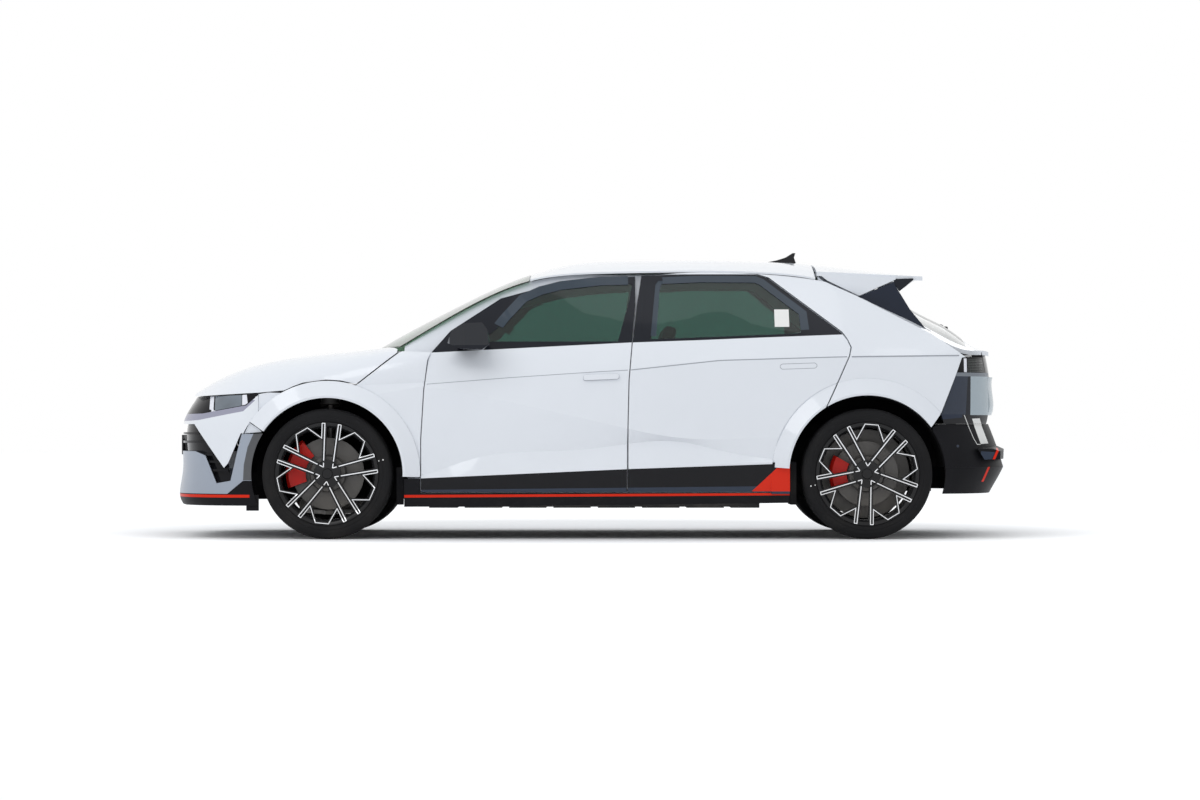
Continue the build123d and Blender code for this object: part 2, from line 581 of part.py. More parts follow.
def spoke_outlines(middle):
    """Outlines of one V of arms with its two branches and their tie along the rim."""
    vertex = polar(spoke_hub_radius, middle)
    outlines = []
    for side in (1, -1):
        tip = polar(spoke_tip_radius, middle - side * (180 / spoke_pairs - spoke_tip_angle))
        share = (branch_radius - spoke_hub_radius) / (spoke_tip_radius - spoke_hub_radius)
        fork = (vertex[0] + share * (tip[0] - vertex[0]), vertex[1] + share * (tip[1] - vertex[1]))
        end = polar(branch_tip_radius, middle - side * branch_tip_angle)
        half, wide = side * spoke_width / 2, side * spoke_tip_width
        outlines.append([
            beside(vertex, tip, -half, vertex), beside(vertex, tip, -half, tip), beside(vertex, tip, wide, tip),
            beside(vertex, tip, half, fork), beside(vertex, tip, half, vertex),
        ])
        outlines.append([
            beside(fork, end, -branch_width / 2, fork), beside(fork, end, -branch_width / 2, end),
            beside(fork, end, branch_width / 2, end), beside(fork, end, branch_width / 2, fork),
        ])
    reach = branch_tip_angle + 1.5
    outlines.append([
        polar(branch_tip_radius - 7, middle - reach), polar(branch_tip_radius + 6, middle - reach),
        polar(branch_tip_radius + 6, middle + reach), polar(branch_tip_radius - 7, middle + reach),
    ])
    return outlines


def spokes(first_angle):
    """Five pairs of straight arms that fork to the rim, dished to the hub."""
    pitch = 360 / spoke_pairs
    outlines = []
    for k in range(spoke_pairs):
        outlines += spoke_outlines(first_angle + (k + 0.5) * pitch)
    stars = [Solid.extrude(face, Vector(0, 130, 0)) for face in flat_shape(*outlines)]
    dish = turned([
        (20, -84), (70, -88), (262, -125), (283, -133.5), (283, -128), (268, -122.5),
        (262, -114), (262, -96), (110, -60), (70, -46), (20, -46),
    ], 0, 0)
    return [star.intersect(dish) for star in stars]


def wheel(first_angle):
    """Left wheel about the origin: barrel, flanges, spokes, hub pad, cap and nuts."""
    barrel = turned([
        (rim_flange_radius, -131), (rim_flange_radius, -124), (rim_seat_radius, -118), (rim_seat_radius, 118),
        (rim_flange_radius, 124), (rim_flange_radius, 131), (262, 122), (256, 60), (256, -112), (268, -126), (280, -131),
    ], 0, 0)
    pad = turned([(16, -86), (76, -91), (76, -46), (16, -46)], 0, 0)
    cap = turned([(0.01, -94), (26, -94), (30, -90), (30, -50), (0.01, -50)], 0, 0)
    body = barrel.fuse(pad, *[solid for part in spokes(first_angle) for solid in part.solids()])
    for k in range(spoke_pairs):
        centre = polar(bolt_circle_radius, first_angle + (k + 0.5) * 360 / spoke_pairs)
        body = body - drum(15, centre[0], centre[1], -120, -64)
        hexagon = [(centre[0] + x, centre[1] + z) for x, z in [polar(10.5, 60 * n) for n in range(6)]]
        body = body.fuse(side_prism(hexagon, -80, -60))
    return largest(body.fuse(cap))


def tyre():
    """Left tyre about the origin."""
    half = tyre_width / 2
    return turned([
        (rim_seat_radius + seat_gap, -117.7), (rim_flange_radius + 0.5, -123.8), (rim_flange_radius + 8, -131.5), (325, -half),
        (348, -half + 6), (358, -half + 22), (tyre_radius, -70), (tyre_radius, 70), (358, half - 22),
        (348, half - 6), (325, half), (rim_flange_radius + 8, 131.5), (rim_flange_radius + 0.5, 123.8), (rim_seat_radius + seat_gap, 117.7),
    ], 0, 0)


def disc(radius, thickness):
    """Brake disc with its bell, about the wheel centre."""
    return turned([
        (40, -45.7), (96, -45.7), (104, -38), (104, 4), (radius, 4), (radius, 4 + thickness),
        (110, 4 + thickness), (96, 14), (96, -37), (40, -37),
    ], 0, 0)


def caliper(inner, outer, first, last, disc_radius, thickness):
    """Brake caliper that straddles the disc between two angles."""
    body = turned([(inner, -34), (outer - 16, -34), (outer, -18), (outer, 66), (inner, 66)], 0, 0, last - first, first)
    slot = turned([(inner - 5, -2), (disc_radius + 6, -2), (disc_radius + 6, 10 + thickness), (inner - 5, 10 + thickness)], 0, 0, 360, 0)
    return largest(body - slot)


def hub():
    """Hub that carries disc and wheel, about the wheel centre."""
    return turned([(0.01, -45.7), (38, -45.7), (38, -38), (72, -38), (72, -26), (44, -20), (44, 66), (0.01, 66)], 0, 0)


# ------------------------------------------------------------------ running gear
kingpin_low = (front_axle_x, -757, 190)
kingpin_high = (front_axle_x, -640, 880)
bearing_radius = 44.8
arm_top = 156
tower_bottom = 862


def on_kingpin(z, shift=0):
    """Point of the left steering axis at height z, moved along x."""
    share = (z - kingpin_low[2]) / (kingpin_high[2] - kingpin_low[2])
    return (front_axle_x + shift, kingpin_low[1] + share * (kingpin_high[1] - kingpin_low[1]), z)


def knuckle():
    """Left front knuckle with bearing ring, ball joint, steering arm and strut."""
    ring = turned([(bearing_radius, 12), (66, 12), (66, 72), (bearing_radius, 72)], front_axle_x, tyre_radius)
    ring = ring.translate((0, -wheel_y, 0))
    lower = block(front_axle_x - 24, front_axle_x + 24, -772, -736, 205, 310)
    stud = rod(9, on_kingpin(arm_top + 2.2), on_kingpin(215))
    upper_outline = [(-30, 420), (30, 420), (26, 520), (-26, 520)]
    upper = side_prism([(front_axle_x + x, z) for x, z in upper_outline], -764, -728)
    link_outline = [(-24, -764), (24, -764), (22, -640), (-22, -640)]
    link = plan_prism([(front_axle_x + x, y) for x, y in link_outline], 470, 515)
    strut = rod(20, (front_axle_x, -634, 455), on_kingpin(760))
    cup = rod(62, on_kingpin(744), on_kingpin(756))
    spring = rod(54, on_kingpin(756), on_kingpin(846))
    pin = rod(10, on_kingpin(840), on_kingpin(tower_bottom - 2.1))
    arm = block(front_axle_x + 20, front_axle_x + 140, -766, -740, 250, 275)
    ear = block(front_axle_x - 160, front_axle_x - 40, -wheel_y + 66 + seat_gap, -738, 350, 420)
    return largest(ring.fuse(lower, stud, upper, link, strut, cup, spring, pin, arm, ear))


def at_wheel(solid, axle_x):
    """Left wheel part carried from the origin to its place."""
    return solid.translate((axle_x, -wheel_y, tyre_radius))


def liner(axle_x, radius, inner_y, outer_y, first, last):
    """Left wheelhouse liner: a part ring with its inner wall."""
    ring = turned([(radius, -outer_y), (radius + 5, -outer_y), (radius + 5, -inner_y + 5), (radius, -inner_y + 5)], axle_x, tyre_radius, last - first, first)
    wall = turned([(150, -inner_y), (radius + 5, -inner_y), (radius + 5, -inner_y + 5), (150, -inner_y + 5)], axle_x, tyre_radius, last - first, first)
    strut_hole = Solid.make_cylinder(78, 400, Plane((axle_x, on_kingpin(800)[1], 600)))
    return largest(ring.fuse(wall) - strut_hole)


def front_structure():
    """Front side members, strut towers, bumper beam and firewall."""
    rail = block(-2190, -1104, -452, -396, rail_bottom, 480)
    tower = block(-1560, -1400, -720, -446, tower_bottom, tower_bottom + 14)
    stay = block(-1560, -1400, -liner_inner_y + 5 + seat_gap, -446, 470, tower_bottom + 4)
    left = rail.fuse(tower, stay)
    right = left.mirror(Plane.XZ)
    beam = block(-2235, -2190, -600, 600, 400, 500)
    wall = block(-1110, firewall_back, -452, 452, 286, 1000)
    upper_wall = block(-1110, firewall_back, -740, 740, 830, 1000)
    return largest(left.fuse(right, beam, wall, upper_wall))


firewall_back = -1099.3
boot_floor_z = 478
rail_bottom = 390


def cowl():
    """Cowl panel under the foot of the windscreen, with the bonnet's hinge blocks."""
    front = [(-1254 + 147 * (y / 745) ** 2, y) for y in range(-700, 701, 140)]
    back = [(-1190 + 147 * (y / 745) ** 2, y) for y in range(700, -701, -140)]
    lip = plan_prism(front + back, 1000 + seat_gap, 1036)
    tray = plan_prism(front + [(-1062, 700), (-1062, -700)], 1000 + seat_gap, 1012)
    ends = both_sides(block(-1105.7, -1092, -745, -690, 1000 + seat_gap, 1036))
    return largest(lip.fuse(tray, *ends))


def floor():
    """Floor, heel board and boot floor, fitted between the sills."""
    inside = side_sheet(frame_inner + seat_gap, 460, -1085, 2100, upper=False)
    wing = block(-1099, 985, -900, -470, 286, 294) & inside
    wing = wing - block(-1200, -1030, -900, -440, 200, 400)
    front = block(-1099, 985, -472, 472, 286, 294)
    heel = block(985, 995, -560, 560, 286, boot_floor_z)
    boot = block(995, 2150, -490, 490, boot_floor_z - 8, boot_floor_z)
    return largest(front.fuse(*wing.solids(), *[w.mirror(Plane.XZ) for w in wing.solids()], heel, boot))


def battery():
    """Battery pack under the floor, with its cross ribs."""
    pack = block(-930, 930, -640, 640, 168, 285.7)
    grooves = [block(x - 20, x + 20, -700, 700, 160, 174) for x in range(-750, 751, 250)]
    for groove in grooves:
        pack = pack - groove
    return largest(pack)


motor_z = 350
motor_radius = 115
subframe_top = motor_z - motor_radius - seat_gap


def drive_unit(axle_x, lean):
    """Electric motor with its gearbox and shafts."""
    motor = drum(motor_radius, axle_x + lean, motor_z, -210, 130)
    gearbox = drum(95, axle_x, tyre_radius, 100, 180)
    case = block(min(axle_x, axle_x + lean) - 60, max(axle_x, axle_x + lean) + 60, -150, 150, 260, 440)
    shaft = drum(16, axle_x, tyre_radius, -700, 700)
    return largest(motor.fuse(gearbox, case, shaft))


def front_suspension():
    """Front subframe with its two lower arms."""
    frame = block(-1680, -1290, -390, 390, 150, 200)
    cradle = block(-1400, -1290, -180, 100, 190, subframe_top)
    posts = both_sides(block(-1670, -1630, -440, -370, 180, rail_bottom - seat_gap))
    arm_outline = [(-20, -778), (20, -778), (34, -700), (150, -385), (100, -380), (14, -640), (-16, -640), (-106, -380), (-166, -385), (-36, -700)]
    arm = plan_prism([(front_axle_x + x, y) for x, y in arm_outline], arm_top - 22, arm_top)
    return largest(frame.fuse(cradle, *posts, arm, arm.mirror(Plane.XZ)))


def rear_suspension():
    """Rear subframe, arms and hub carriers."""
    frame = block(1330, 1700, -420, 420, 190, subframe_top)
    carrier = turned([(bearing_radius, 12), (70, 12), (70, 80), (bearing_radius, 80)], 0, 0)
    carrier = carrier.translate((rear_axle_x, -wheel_y, tyre_radius))
    leg = block(rear_axle_x - 22, rear_axle_x + 22, -775, -738, 200, 310)
    ear = block(rear_axle_x - 150, rear_axle_x - 40, -wheel_y + 66 + seat_gap, -738, 340, 410)
    arm_outline = [(-30, -775), (30, -775), (150, -410), (-150, -410)]
    arm = plan_prism([(rear_axle_x + x, y) for x, y in arm_outline], 200, 222)
    left = carrier.fuse(leg, ear, arm)
    posts = both_sides(block(1655, 1695, -415, -375, 200, boot_floor_z - 8 - seat_gap))
    return largest(frame.fuse(*posts, left, left.mirror(Plane.XZ)))


def seat(y):
    """Front seat: cushion, back and head restraint."""
    cushion = side_prism([(-330, 330), (-330, 470), (-120, 500), (190, 450), (190, 330)], y - 255, y + 255)
    back = side_prism([(150, 430), (270, 440), (430, 1010), (330, 1040)], y - 245, y + 245)
    head = side_prism([(350, 1035), (440, 1010), (480, 1190), (400, 1210)], y - 130, y + 130)
    rails = block(-260, 160, y - 220, y + 220, 294.3, 335)
    return largest(cushion.fuse(back, head, rails))


def bench():
    """Rear bench with its back."""
    cushion = side_prism([(600, 294.3), (600, 480), (984.7, 490), (984.7, 294.3)], -620, 620)
    back = side_prism([(930, boot_floor_z + seat_gap), (1060, boot_floor_z + seat_gap), (1230, 1060), (1140, 1090)], -560, 560)
    return largest(cushion.fuse(back))


wheel_centre = (-455, -370, 905)
column_lean = 25
steering_plane = Plane(
    origin=wheel_centre, z_dir=(math.cos(math.radians(column_lean)), 0, math.sin(math.radians(column_lean)))
)


def on_column(radius, start, end):
    """Cylinder on the steering column's axis, between two distances behind the wheel's plane."""
    base = steering_plane.from_local_coords((0, 0, start))
    return Solid.make_cylinder(radius, end - start, Plane(origin=base, z_dir=steering_plane.z_dir))


def dashboard():
    """Instrument panel under the screen, with the column shroud."""
    outline = [(-1099, 980), (-1060, 999), (-820, 990), (-650, 940), (-640, 860), (-760, 700), (-1099, 700)]
    panel = side_prism(outline, -700, 700)
    return largest(panel.fuse(on_column(40, -330, -120)))


def steering_wheel():
    """Steering wheel rim, spokes and boss on the end of its column."""
    rim = Solid.make_torus(172, 15, steering_plane)
    boss = on_column(62, -38, 2)
    column = on_column(22, -120 + seat_gap, -30)
    bar = Solid.make_box(340, 30, 14, Plane(
        origin=steering_plane.from_local_coords((-170, -15, -15)), x_dir=steering_plane.x_dir, z_dir=steering_plane.z_dir))
    return largest(rim.fuse(boss, bar, column))


def mirror_housing():
    """Left door mirror on its foot, seated on the door's upper frame."""
    outline = [(-813, 1088), (-786, 1159), (-725, 1195), (-620, 1201), (-590, 1159), (-580, 1080), (-620, 1050), (-741, 1056)]
    plan = [(-820, -960), (-800, -1040), (-720, -1080), (-560, -1080), (-560, -925), (-700, -925)]
    head = largest(side_prism(outline, -1080, -920) & plan_prism(plan, 1000, 1250))
    foot = side_prism([(-760, 1060), (-690, 1100), (-640, 1100), (-640, 1060)], -945, -800)
    return largest(head.fuse(foot) - side_sheet(-seat_gap, 120, -1085, 2100))


def skirt(skin_sheet):
    """Left sill cover below the doors."""
    zone = [(-1056, 150), (-1056, 335), (-968, 335), (-968, 256), (1085, 256), (1085, 150)]
    cover = skin_sheet & far_left(zone)
    cover = cover - drum(front_arch_radius, front_axle_x, tyre_radius, -1250, -300)
    return largest(cover - drum(rear_arch_radius, rear_axle_x, tyre_radius, -1250, -300))


def panels():
    """Writes every body panel."""
    door_sheets = (
        side_sheet(0, skin + 1, -1085, 2100),
        side_sheet(0, skin - seat_gap, -1085, 2100),
        side_sheet(skin, door_depth, -1085, 2100),
    )
    wing_skin = side_sheet(0, wing_thickness, -2250, -830)
    side_skin = side_sheet(0, frame_outer - seat_gap, -1085, 2100)
    rear_arch_cut = drum(rear_flare_radius, rear_axle_x, tyre_radius, -1250, -300)
    front_panel, front_frame, front_cladding = door(
        front_door_outline, door_sheets, None, belt_front, front_opening, front_hinge_x)
    rear_panel, rear_frame, rear_cladding = door(
        rear_door_outline, door_sheets, rear_arch_cut, belt_rear, rear_opening, rear_hinge_x)
    door_moulding, quarter_moulding = rear_mouldings()
    front_pane = glass_pane(front_opening)
    rear_pane = glass_pane(rear_opening)
    sides = {"left": lambda solid: solid, "right": lambda solid: solid.mirror(Plane.XZ)}
    for side, turn in sides.items():
        write(f"front_{side}_door", turn(front_panel))
        write(f"front_{side}_door_trim", turn(front_frame), turn(front_cladding), turn(mirror_housing()))
        write(f"front_{side}_door_glass", turn(front_pane))
        write(f"rear_{side}_door", turn(rear_panel), turn(door_moulding))
        write(f"rear_{side}_door_trim", turn(rear_frame), turn(rear_cladding))
        write(f"rear_{side}_door_glass", turn(rear_pane))
    write("body_sides", *both_sides(body_side(side_skin)), *both_sides(quarter_moulding))
    write("body_frame", body_frame())
    write("front_wings", *[s for part in wing(wing_skin) for s in both_sides(part)])
    write("roof_panel", *roof())
    write("windscreen", windscreen())
    write("bonnet", bonnet())
    write("side_skirts", *both_sides(skirt(side_skin)))


def ends():
    """Writes the nose, the tail and the tailgate."""
    lamps, bar, bumper, mask, splitter = nose()
    write("headlamps", *lamps, bar)
    write("front_bumper", bumper)
    write("front_mask", mask)
    write("front_splitter", splitter)
    write("front_grille", grille())
    lamps, corners, bumper, diffuser = tail()
    write("tail_lamps", *lamps)
    write("rear_corners", *corners)
    write("rear_bumper", bumper)
    write("rear_diffuser", diffuser)
    frame, glass, spoiler, fins, lower, bar = tailgate()
    write("tailgate", frame, lower, *fins)
    write("rear_window", glass)
    write("tailgate_spoiler", spoiler)
    write("tail_bar", bar)


def corners():
    """Writes the wheels, brakes and knuckles."""
    for end, axle_x, first, radius, thickness in (
        ("front", front_axle_x, 84.3, front_disc_radius, 34), ("rear", rear_axle_x, 49.4, rear_disc_radius, 28),
    ):
        rim, rubber = wheel(first), tyre()
        brake = largest(disc(radius, thickness).fuse(hub()))
        arc = (125, 236, 128, 200) if end == "front" else (110, 206, 150, 205)
        clamp = caliper(*arc, radius, thickness)
        for side, turn in (("left", lambda solid: solid), ("right", lambda solid: solid.mirror(Plane.XZ))):
            write(f"{end}_{side}_wheel", turn(at_wheel(rim, axle_x)))
            write(f"{end}_{side}_tyre", turn(at_wheel(rubber, axle_x)))
            write(f"{end}_{side}_disc", turn(at_wheel(brake, axle_x)))
            if end == "front":
                write(f"{side}_knuckle", turn(knuckle()))
                write(f"front_{side}_caliper", turn(at_wheel(clamp, axle_x)))
        if end == "rear":
            write("rear_calipers", *both_sides(at_wheel(clamp, axle_x)))


def inside():
    """Writes the structure, running gear and cabin."""
    write("front_structure", front_structure())
    write("floor_pan", floor())
    write("battery_pack", battery())
    write("drive_units", drive_unit(front_axle_x, 150), drive_unit(rear_axle_x, -150))
    front_liner = liner(front_axle_x, liner_radius, liner_inner_y, flare_back_y - seat_gap, 0, 180)
    rear_liner = liner(rear_axle_x, rear_arch_radius - 6, 500, flare_back_y - seat_gap, 5, 175)
    write("wheel_liners", *both_sides(front_liner), *both_sides(rear_liner))
    write("suspension", front_suspension(), rear_suspension())
    write("cowl_panel", cowl())
    write("front_seats", *[seat(y) for y in (-370, 370)])
    write("rear_bench", bench())
    write("dashboard", dashboard())
    write("steering_wheel", steering_wheel())


panels()
ends()
corners()
inside()
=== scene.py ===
"""Looks of a five-door electric crossover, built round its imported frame. Metres, nose towards -X, left side -Y."""

import logging
import math
from dataclasses import dataclass, field, replace
from enum import Enum
from typing import Callable, Optional, Sequence, Union

import bmesh
import bpy
import numpy as np
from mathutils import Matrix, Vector
from mathutils.bvhtree import BVHTree


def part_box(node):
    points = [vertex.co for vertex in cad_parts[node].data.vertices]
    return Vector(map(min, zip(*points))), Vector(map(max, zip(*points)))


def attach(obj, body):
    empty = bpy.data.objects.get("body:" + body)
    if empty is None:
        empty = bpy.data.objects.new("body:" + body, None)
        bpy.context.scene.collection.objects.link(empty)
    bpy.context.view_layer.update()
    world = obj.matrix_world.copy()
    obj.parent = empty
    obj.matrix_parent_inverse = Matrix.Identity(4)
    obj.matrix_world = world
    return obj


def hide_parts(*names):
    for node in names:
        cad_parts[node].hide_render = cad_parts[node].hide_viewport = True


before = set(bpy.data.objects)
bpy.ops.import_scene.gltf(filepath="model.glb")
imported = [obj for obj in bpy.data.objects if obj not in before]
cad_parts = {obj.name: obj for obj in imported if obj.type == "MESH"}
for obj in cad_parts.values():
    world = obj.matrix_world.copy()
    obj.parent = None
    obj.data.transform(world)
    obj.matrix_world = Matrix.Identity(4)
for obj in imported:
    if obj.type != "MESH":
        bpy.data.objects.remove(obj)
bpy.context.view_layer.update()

Point = tuple[float, float]
Place = tuple[float, float, float]
Colour = tuple[float, float, float]
Outline = Sequence[Point]
Span = tuple[float, float]
Shape = tuple[list, list]
Hit = tuple[Vector, Vector]
Where = Callable[[float, float], Hit]
MM = 0.001
logging.basicConfig(level=logging.INFO, format="%(message)s")
log = logging.getLogger("crossover")


class Side(Enum):
    """The two sides of the car, with the sign of their Y."""

    LEFT = -1
    RIGHT = 1

    @property
    def word(self) -> str:
        """The side's name in node names."""
        return self.name.lower()


class End(Enum):
    """The two axles."""

    FRONT = "front"
    REAR = "rear"


# ------------------------------------------------------------------ node trees
class Tree:
    """A node tree with short calls for adding and joining nodes."""

    def __init__(self, tree: bpy.types.NodeTree) -> None:
        """Wraps a tree."""
        self.tree = tree

    def add(self, kind: str, **settings: object) -> bpy.types.Node:
        """Adds a node and sets its properties.

        Args:
            kind: Blender's name of the node type.
            settings: property values.
        Returns:
            The new node.
        """
        node = self.tree.nodes.new(kind)
        for name, value in settings.items():
            setattr(node, name, value)
        return node

    def feed(self, socket: bpy.types.NodeSocket, value: object) -> None:
        """Links another socket into this one, or sets its plain value."""
        if isinstance(value, bpy.types.NodeSocket):
            self.tree.links.new(value, socket)
        else:
            socket.default_value = value

    def math(self, operation: str, a: object, b: object = 0.0, clamp: bool = False) -> bpy.types.NodeSocket:
        """Result of a Math node on two values or sockets."""
        node = self.add("ShaderNodeMath", operation=operation, use_clamp=clamp)
        self.feed(node.inputs[0], a)
        self.feed(node.inputs[1], b)
        return node.outputs[0]

    def step(self, value: object, low: float, high: float) -> bpy.types.NodeSocket:
        """Smooth rise from 0 at low to 1 at high."""
        node = self.add("ShaderNodeMapRange", interpolation_type="SMOOTHSTEP")
        self.feed(node.inputs["Value"], value)
        node.inputs["From Min"].default_value = low
        node.inputs["From Max"].default_value = high
        return node.outputs["Result"]

    def mix(self, share: object, a: object, b: object) -> bpy.types.NodeSocket:
        """Colour a at share 0 and b at share 1."""
        node = self.add("ShaderNodeMix", data_type="RGBA")
        self.feed(node.inputs["Factor"], share)
        self.feed(node.inputs["A"], a)
        self.feed(node.inputs["B"], b)
        return node.outputs["Result"]

    def seen(self) -> bpy.types.NodeSocket:
        """1 for rays from the camera, from gloss and through glass."""
        rays = self.add("ShaderNodeLightPath")
        indirect = self.math("MAXIMUM", rays.outputs["Is Glossy Ray"], rays.outputs["Is Transmission Ray"])
        return self.math("MAXIMUM", rays.outputs["Is Camera Ray"], indirect)

    def group(self, tree: bpy.types.NodeTree, **inputs: object) -> bpy.types.Node:
        """Places a shared group and feeds its named inputs."""
        node = self.add("ShaderNodeGroup", node_tree=tree)
        for name, value in inputs.items():
            self.feed(node.inputs[name.replace("_", " ")], value)
        return node


def new_group(
    name: str, inputs: dict[str, str], outputs: dict[str, str]
) -> tuple[Tree, bpy.types.Node, bpy.types.Node]:
    """Starts a shader node group with named sockets.

    Args:
        name: the group's name.
        inputs: socket name to socket type.
        outputs: socket name to socket type.
    Returns:
        The tree with its input and output nodes.
    """
    tree = bpy.data.node_groups.new(name, "ShaderNodeTree")
    for sockets, side in ((inputs, "INPUT"), (outputs, "OUTPUT")):
        for socket, kind in sockets.items():
            tree.interface.new_socket(socket, in_out=side, socket_type=kind)
    made = Tree(tree)
    return made, made.add("NodeGroupInput"), made.add("NodeGroupOutput")


FLOAT, VECTOR, COLOUR = "NodeSocketFloat", "NodeSocketVector", "NodeSocketColor"


def grain_group() -> bpy.types.NodeTree:
    """Fine moulded grain or paint peel: a height and a mottling mask."""
    tree, source, sink = new_group(
        "Grain", {"Vector": VECTOR, "Scale": FLOAT, "Mottle Scale": FLOAT}, {"Height": FLOAT, "Mottle": FLOAT})
    for scale, target, detail in (("Scale", "Height", 3.0), ("Mottle Scale", "Mottle", 5.0)):
        noise = tree.add("ShaderNodeTexNoise")
        tree.feed(noise.inputs["Vector"], source.outputs["Vector"])
        tree.feed(noise.inputs["Scale"], source.outputs[scale])
        noise.inputs["Detail"].default_value = detail
        tree.feed(sink.inputs[target], noise.outputs["Fac"])
    return tree.tree


def dust_group() -> bpy.types.NodeTree:
    """Road dust that thins out upwards: a mask."""
    tree, source, sink = new_group("Road Dust", {"Vector": VECTOR, "Top": FLOAT, "Amount": FLOAT}, {"Mask": FLOAT})
    parts = tree.add("ShaderNodeSeparateXYZ")
    tree.feed(parts.inputs[0], source.outputs["Vector"])
    noise = tree.add("ShaderNodeTexNoise")
    noise.inputs["Scale"].default_value = 7.0
    noise.inputs["Detail"].default_value = 8.0
    tree.feed(noise.inputs["Vector"], source.outputs["Vector"])
    height = tree.math("DIVIDE", parts.outputs["Z"], source.outputs["Top"])
    low = tree.math("SUBTRACT", 1.0, height, clamp=True)
    patchy = tree.math("MULTIPLY", low, tree.step(noise.outputs["Fac"], 0.35, 0.75))
    tree.feed(sink.inputs["Mask"], tree.math("MULTIPLY", patchy, source.outputs["Amount"]))
    return tree.tree


def weave_group() -> bpy.types.NodeTree:
    """Plain cloth weave: a height and a thread mask."""
    tree, source, sink = new_group("Weave", {"Vector": VECTOR, "Threads": FLOAT}, {"Height": FLOAT, "Thread": FLOAT})
    waves = []
    for axis in ("X", "Y", "Z"):
        wave = tree.add("ShaderNodeTexWave", bands_direction=axis)
        tree.feed(wave.inputs["Vector"], source.outputs["Vector"])
        tree.feed(wave.inputs["Scale"], source.outputs["Threads"])
        waves.append(wave.outputs["Fac"])
    cross = tree.math("MULTIPLY", tree.math("MULTIPLY", waves[0], waves[1]), waves[2])
    tree.feed(sink.inputs["Height"], cross)
    tree.feed(sink.inputs["Thread"], tree.step(cross, 0.05, 0.6))
    return tree.tree


def rings_group() -> bpy.types.NodeTree:
    """Fine turned rings about a wheel's axis: a height and a ring mask."""
    tree, source, sink = new_group("Turned Rings", {"Vector": VECTOR, "Rings": FLOAT}, {"Height": FLOAT, "Ring": FLOAT})
    wave = tree.add("ShaderNodeTexWave", wave_type="RINGS", rings_direction="Y")
    wave.inputs["Distortion"].default_value = 0.4
    tree.feed(wave.inputs["Vector"], source.outputs["Vector"])
    tree.feed(wave.inputs["Scale"], source.outputs["Rings"])
    tree.feed(sink.inputs["Height"], wave.outputs["Fac"])
    tree.feed(sink.inputs["Ring"], wave.outputs["Fac"])
    return tree.tree


GROUPS = {"grain": grain_group(), "dust": dust_group(), "weave": weave_group(), "rings": rings_group()}


# ------------------------------------------------------------------ finishes
@dataclass(frozen=True)
class Zone:
    """A part of a finish with its own colour, bounded by planes n.p <= d with Y taken as positive."""

    planes: tuple[tuple[float, float, float, float], ...]
    colour: Colour
    roughness: float
    metallic: float = 0.0


def side_zone(outline: Outline, colour: Colour, roughness: float, metallic: float = 0.0) -> Zone:
    """Zone inside a convex anticlockwise (x, z) outline in millimetres."""
    planes = []
    for (xa, za), (xb, zb) in zip(outline, [*outline[1:], outline[0]]):
        nx, nz = (zb - za), -(xb - xa)
        length = math.hypot(nx, nz)
        planes.append((nx / length, 0.0, nz / length, (nx * xa + nz * za) / length * MM))
    return Zone(tuple(planes), colour, roughness, metallic)


